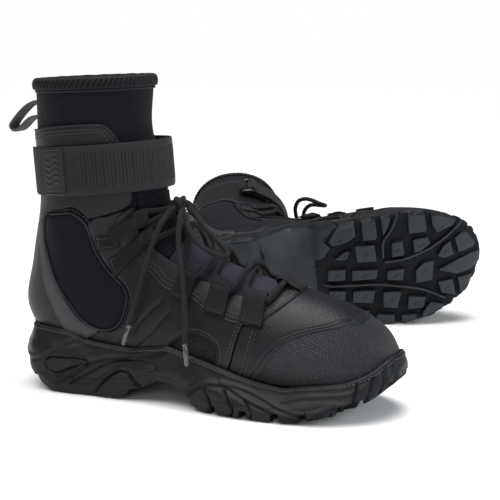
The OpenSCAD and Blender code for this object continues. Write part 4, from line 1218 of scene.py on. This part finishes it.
def wall(base, z):
    """Points of the side wall over plan points, at heights z (rows, columns)."""
    index = np.array([np.argmin(((PLAN - b) ** 2).sum(1)) for b in base])
    p, n = PLAN[index], PLAN_OUT[index]
    x, y = np.broadcast_to(p[:, 0], z.shape), np.broadcast_to(p[:, 1], z.shape)
    rise, below = z - low_z(x, y), rim_z(x) - z
    off = -INSET * (1 - ease(rise / 9)) + 0.8 * np.sin(np.pi * np.clip((z - 6) / 40, 0, 1))
    off = off + wall_relief(x, z) * (1 - ease(arch(x, y) / 6)) - 2.2 * (x < -20) * ease((-20 - x) / 15)
    off = np.clip(off, -5, 2.6) - lean[index] * ease((19 - below) / 19) - 1.3 * ease((2.2 - below) / 2.2)
    xy = p[None] + off[..., None] * n[None]
    return np.concatenate([xy, z[..., None]], -1), index


share = np.linspace(0, 1, 22)[1:, None]
bottom = np.concatenate([v2, z2[:, None]], 1)
zb, zs = z2[loop], part_at(v2[loop, 0], v2[loop, 1])
zs = np.maximum(zs, zb + 1.2)
side_rows, _ = wall(v2[loop], zb[None] + (zs - zb)[None] * share)
n0, rows, cols = len(v2), len(share), len(loop)
lid_z = np.maximum(part_at(v2[:, 0], v2[:, 1]) - 0.5, z2 + 0.6)
lid = np.concatenate([v2 * 0.97 + [3, 0], lid_z[:, None]], 1)
ids = np.concatenate([loop[None], n0 + np.arange(rows * cols).reshape(rows, cols),
    (n0 + rows * cols + loop)[None]])
nxt = np.roll(ids, -1, 1)
sides = np.stack([ids[:-1].ravel(), ids[1:].ravel(), nxt[1:].ravel(), nxt[:-1].ravel()], 1)
verts = np.concatenate([bottom, side_rows.reshape(-1, 3), lid])
soles = both("outsole", solid(verts, [f2, sides, f2[:, ::-1] + n0 + rows * cols], verts[:, :2]), "sole",
    angle=38)
# faces deep in the grooves between the lugs get the darker groove colour, which is painted shade; the rest
# of the bottom gets the tread rubber
shaded_groove = ((signed[f2].max(1) < LUG_SLOPE + 0.01) & (depth[f2].min(1) > 1.5)).astype(np.int32)
for o in soles:
    o.data.materials.append(MATERIALS["groove"])
    o.data.materials.append(MATERIALS["tread"])
    index = np.zeros(len(o.data.polygons), np.int32)
    index[: len(shaded_groove)] = 2 - shaded_groove
    o.data.polygons.foreach_set("material_index", index)

base = (PLAN - INSET * PLAN_OUT)[::2]
zt = rim_z(base[:, 0]) + 0.15 * np.sin(base[:, 0] * 1.9) + 0.1 * np.sin(base[:, 0] * 3.1 + base[:, 1])
zs = np.maximum(part_at(base[:, 0], base[:, 1]) + 0.25, low_z(base[:, 0], base[:, 1]) + 2.4)
share = np.linspace(0, 1, 46)[:, None]
side_rows, index = wall(base, zs[None] + (zt - zs)[None] * share)


def inner_row(inset, z):
    """One row of the side wall's inner face, inside the plan."""
    return np.concatenate([PLAN[index] - inset[:, None] * PLAN_OUT[index], z[:, None]], 1)


WALL_LIP = ((1.9, -0.3), (2.5, -0.15), (3.0, 0.5), (3.3, 2.0), (3.5, 6.0))
inner_rows = [inner_row(inset + lean[index], np.maximum(zt - drop, zs + 0.4)) for inset, drop in WALL_LIP]
inner_rows.append(inner_row(3.5 + np.maximum(lean[index], 0), zs + 0.2))
body = np.concatenate([side_rows, np.array(inner_rows)]).transpose(1, 0, 2)
wall_uv = np.stack(np.broadcast_arrays(np.arange(len(body))[:, None] * 0.8,
    np.arange(body.shape[1])[None] * 0.8), -1)
both("midsole", rings(body, wall_uv, loop=True), "wall", angle=50)

rim_out = np.concatenate([PLAN_OUT[index], np.zeros((len(base), 1))], 1)
rim_line = wall(base, (zt - 2.3)[None])[0][0] + 0.25 * rim_out
stitches.append(dashes(np.concatenate([rim_line, rim_line[:1]]), np.concatenate([rim_out, rim_out[:1]]),
    3.4, 1.25, 0.5))

floor_line = profile_line([[-60, 26.5], [40, 25.5], [90, 24], [130, 20.5], [165, 17.5], [200, 16.5],
    [235, 17.5], [255, 20.5], [290, 27]])
vs = np.linspace(2.9, 8.8, 90)
right_side, left_side = skin(-0.82, vs, -5.8), skin(0.82, vs, -5.8)
w = np.linspace(0, 1, 40)[None, :, None]
sheet = right_side[:, None] * (1 - w) + left_side[:, None] * w
top = sheet.copy()
top[..., 2] = floor_line(sheet[..., 0]) + 13.6 + 1.5 * (2 * w[..., 0] - 1) ** 4
low = top - [0, 0, 3.0]
padding += both("insole", slab(top, low, sheet[..., :2]), "insole")

# ---------------------------------------------------------------- ankle strap
LOOP_X, LOOP_A, LOOP_B, STRAP_Z, STRAP_TURN_X, STRAP_RISE, STRAP_W = 26, 54, 43.8, 177.5, 15, 4.5, 38
RING_X, RING_Y, BAR_R = [38, 48], [46.1, 45.8], 1.8
TAILS = {"right": 0, "left": 13}


def in_plane(x, y, z):
    """Points round the ankle, tilted as the strap is."""
    a = math.radians(STRAP_RISE)
    x, y, z = np.broadcast_arrays(x, y, z)
    dx, dz = x - STRAP_TURN_X, z - STRAP_W / 2
    return np.stack([STRAP_TURN_X + dx * math.cos(a) - dz * math.sin(a), y,
                     STRAP_Z + dx * math.sin(a) + dz * math.cos(a)], -1)


def loop_at(out, degrees):
    """Flat point on the strap's oval, that far outside it."""
    a = np.radians(degrees)
    return np.stack([LOOP_X + (LOOP_A + out) * np.cos(a), (LOOP_B + out) * np.sin(a)], -1)


def sprung(tail, degrees):
    """How far a loose tail stands off the strap."""
    return tail * np.clip((-60 - degrees) / 60, 0, None) ** 2


def band(k, middle, t, start, stop, tail, ribbed, arc):
    """Webbing round the ankle, folded round a bar of the ring."""
    degrees = np.arange(start, stop, 3.0)
    path = loop_at(middle + sprung(tail, degrees), degrees)
    r = BAR_R + 0.25 + t / 2
    bar = np.array([RING_X[k], RING_Y[k]])
    path = np.concatenate([path, bar + r * np.stack([np.cos(np.radians(arc)), np.sin(np.radians(arc))], 1)])
    path = curve(path, 0.38)
    run = run_of(path)
    z = np.linspace(0.15, STRAP_W - 0.15, 64)
    lip = selvedge(z / (STRAP_W / 2) - 1, 14, 0.05)
    zone = ease((STRAP_W / 2 - 5.2 - np.abs(z - STRAP_W / 2)) / 0.9)
    wave = np.abs(np.sin(np.pi * run / 2.8)) ** 0.6
    level = t / 2 * lip[None] + ribbed * zone[None] * (0.85 * wave[:, None] - 0.6)
    level += ribbed * 0.12 * bell(np.abs(z - STRAP_W / 2) - STRAP_W / 2 + 3.2, 0.5)
    faces = []
    for h in (level, -t / 2 * lip[None]):
        p = path[:, None] - h[..., None] * left_of(path)[:, None]
        faces.append(in_plane(p[..., 0], p[..., 1], z))
    return slab(*faces, np.stack(np.broadcast_arrays(run[:, None], z), -1))


def relief_patch(tail):
    """Moulded patch on the strap's end, with a plain wave relief."""
    degrees, z = np.linspace(-119, -98, 70), np.linspace(1.2, STRAP_W - 1.2, 130)
    s = np.radians(degrees + 108.5) * 48
    p = np.stack(np.broadcast_arrays(s[None], z[:, None] - STRAP_W / 2), -1)
    edge = np.minimum(s.max() - np.abs(p[..., 0]), STRAP_W / 2 - 1.2 - np.abs(p[..., 1]))
    h = 0.35 + 0.85 * np.sqrt(1 - (1 - np.clip(edge, 0, 1)) ** 2) - 0.45 * bell(edge - 1.9, 0.45)
    for middle in (-9, -4.5, 0, 4.5, 9):
        ridge = p[..., 1] - middle - 1.6 * np.sin(p[..., 0] * 0.55)
        h += 0.42 * bell(ridge, 0.75) * ease((edge - 2.6) / 0.8)
    faces = []
    for level in (h, np.zeros_like(h)):
        q = loop_at(4.25 + sprung(tail, degrees) + level, degrees)
        faces.append(in_plane(q[..., 0], q[..., 1], z[:, None]))
    return slab(*faces, p)


# the ring's centre line: up its rear bar, over the top, down the front bar and back below
(rear_x, front_x), (rear_y, front_y), CORNER = RING_X, RING_Y, 2.2
ring_line = [(rear_x, rear_y, z) for z in (2.5, 19, 35.5, 39)]
ring_line += [(rear_x + CORNER, rear_y, 40.5), (front_x - CORNER, front_y, 40.5)]
ring_line += [(front_x, front_y, z) for z in (39, 35.5, 19, 2.5, -1)]
ring_line += [(front_x - CORNER, front_y, -2.5), (rear_x + CORNER, rear_y, -2.5), (rear_x, rear_y, -1)]
ring = tube(in_plane(*curve(ring_line, 0.7, True).T), BAR_R, 14, taper=False)
for side in SIDES:
    base_band = band(0, 0.8, 1.6, -150, 66, 0, 0.0, [-40, 0, 60, 120, 180, 228])
    top_band = band(1, 3.2, 2.0, -120, 60, TAILS[side], 1.0, [-42, 0, 60, 120, 180, 222])
    both("strap_base", base_band, "webbing", sides=[side])
    both("strap", top_band, "strap", body="strap", sides=[side])
    both("strap_patch", relief_patch(TAILS[side]), "patch", body="strap", sides=[side])
    both("strap_ring", ring, "ring", body="strap", sides=[side])

# ---------------------------------------------------------------- pull loop
PULL = curve([(-26.6, 227.4), (-32, 226.8), (-39, 223.2), (-46, 216.8), (-51.2, 210.8), (-53, 207.4),
    (-51, 204.4), (-47.6, 204.2), (-43, 207.4), (-38.5, 211.8), (-33.5, 214.8), (-26.8, 215.4)], 0.7)


PULL_HALF = 8
pull_lip = selvedge(np.linspace(-1, 1, 25), 8, 0.04)
both("pull_loop", ribbon(PULL, PULL_HALF, 2.4, pull_lip,
                         lambda x, w, z: np.stack(np.broadcast_arrays(x, w * PULL_HALF, z), -1)), "pull")
for y in (-5.8, 5.8):
    line = np.stack([np.linspace(-30, -33.5, 12), np.full(12, y), np.linspace(228.1, 227.9, 12)], 1)
    stitches.append(dashes(line, np.tile([0, 0, 1.0], (12, 1)), 2.2, 0.8))
both("stitching", join(stitches), "thread", ())

# ---------------------------------------------------------------- floor, light
FLOOR_HALF, FLOOR_Z = 6, -0.0002
sheet = bpy.data.meshes.new("floor")
sheet.from_pydata([(x * FLOOR_HALF, y * FLOOR_HALF, FLOOR_Z) for x,
    y in ((-1, -1), (1, -1), (1, 1), (-1, 1))], [], [(0, 1, 2, 3)])
floor = bpy.data.objects.new("floor", sheet)
scene.collection.objects.link(floor)
paper = bpy.data.materials.new("paper")
paper.use_nodes = True
surface = paper.node_tree.nodes["Principled BSDF"]
surface.inputs["Base Color"].default_value = (0.96, 0.96, 0.96, 1)
surface.inputs["Roughness"].default_value = 0.9
floor.data.materials.append(paper)
floor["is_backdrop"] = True

# the background is plain white to the camera, and only a soft fill to the boots
world = bpy.data.worlds.new("world")
scene.world = world
world.use_nodes = True
nodes, link = world.node_tree.nodes, world.node_tree.links.new
fill = nodes["Background"]
fill.inputs["Strength"].default_value = 0.12
backdrop = nodes.new("ShaderNodeBackground")
mixed = nodes.new("ShaderNodeMixShader")
for n in (fill, backdrop):
    n.inputs["Color"].default_value = (1, 1, 1, 1)
link(nodes.new("ShaderNodeLightPath").outputs["Is Camera Ray"], mixed.inputs[0])
link(fill.outputs[0], mixed.inputs[1])
link(backdrop.outputs[0], mixed.inputs[2])
link(mixed.outputs[0], nodes["World Output"].inputs["Surface"])
scene.view_settings.view_transform = "Standard"


def lamp(kind, name, power):
    data = bpy.data.lights.new(name, kind)
    data.energy = power
    o = bpy.data.objects.new(name, data)
    scene.collection.objects.link(o)
    return o, data


def softbox(name, location, target, size, power):
    o, data = lamp("AREA", name, power)
    data.shape, data.size, data.size_y = "RECTANGLE", *size
    data.color = (0.93, 0.97, 1.0)
    o.location = location
    o.rotation_euler = (Vector(target) - Vector(location)).to_track_quat("-Z", "Y").to_euler()


softbox("top_softbox", (0.24, 0.2, 1.3), (0.14, 0.1, 0), (0.6, 0.5), 7)
softbox("front_fill", (0.5, -1.6, 0.7), (0.12, 0, 0.1), (1.2, 0.7), 4.5)
softbox("toe_side", (1.5, -0.1, 0.7), (0.15, 0.1, 0.1), (0.6, 0.6), 9)
sky, sky_data = lamp("SUN", "sky_light", 3.15)
sky_data.angle = math.radians(60)
sky.rotation_euler = (math.radians(12), math.radians(-8), 0)

# the nodes that stay as their plain solids, inside the sole
for name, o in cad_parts.items():
    if not o.hide_render:
        o.data.materials.clear()
        o.data.materials.append(MATERIALS["inner"])

low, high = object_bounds()
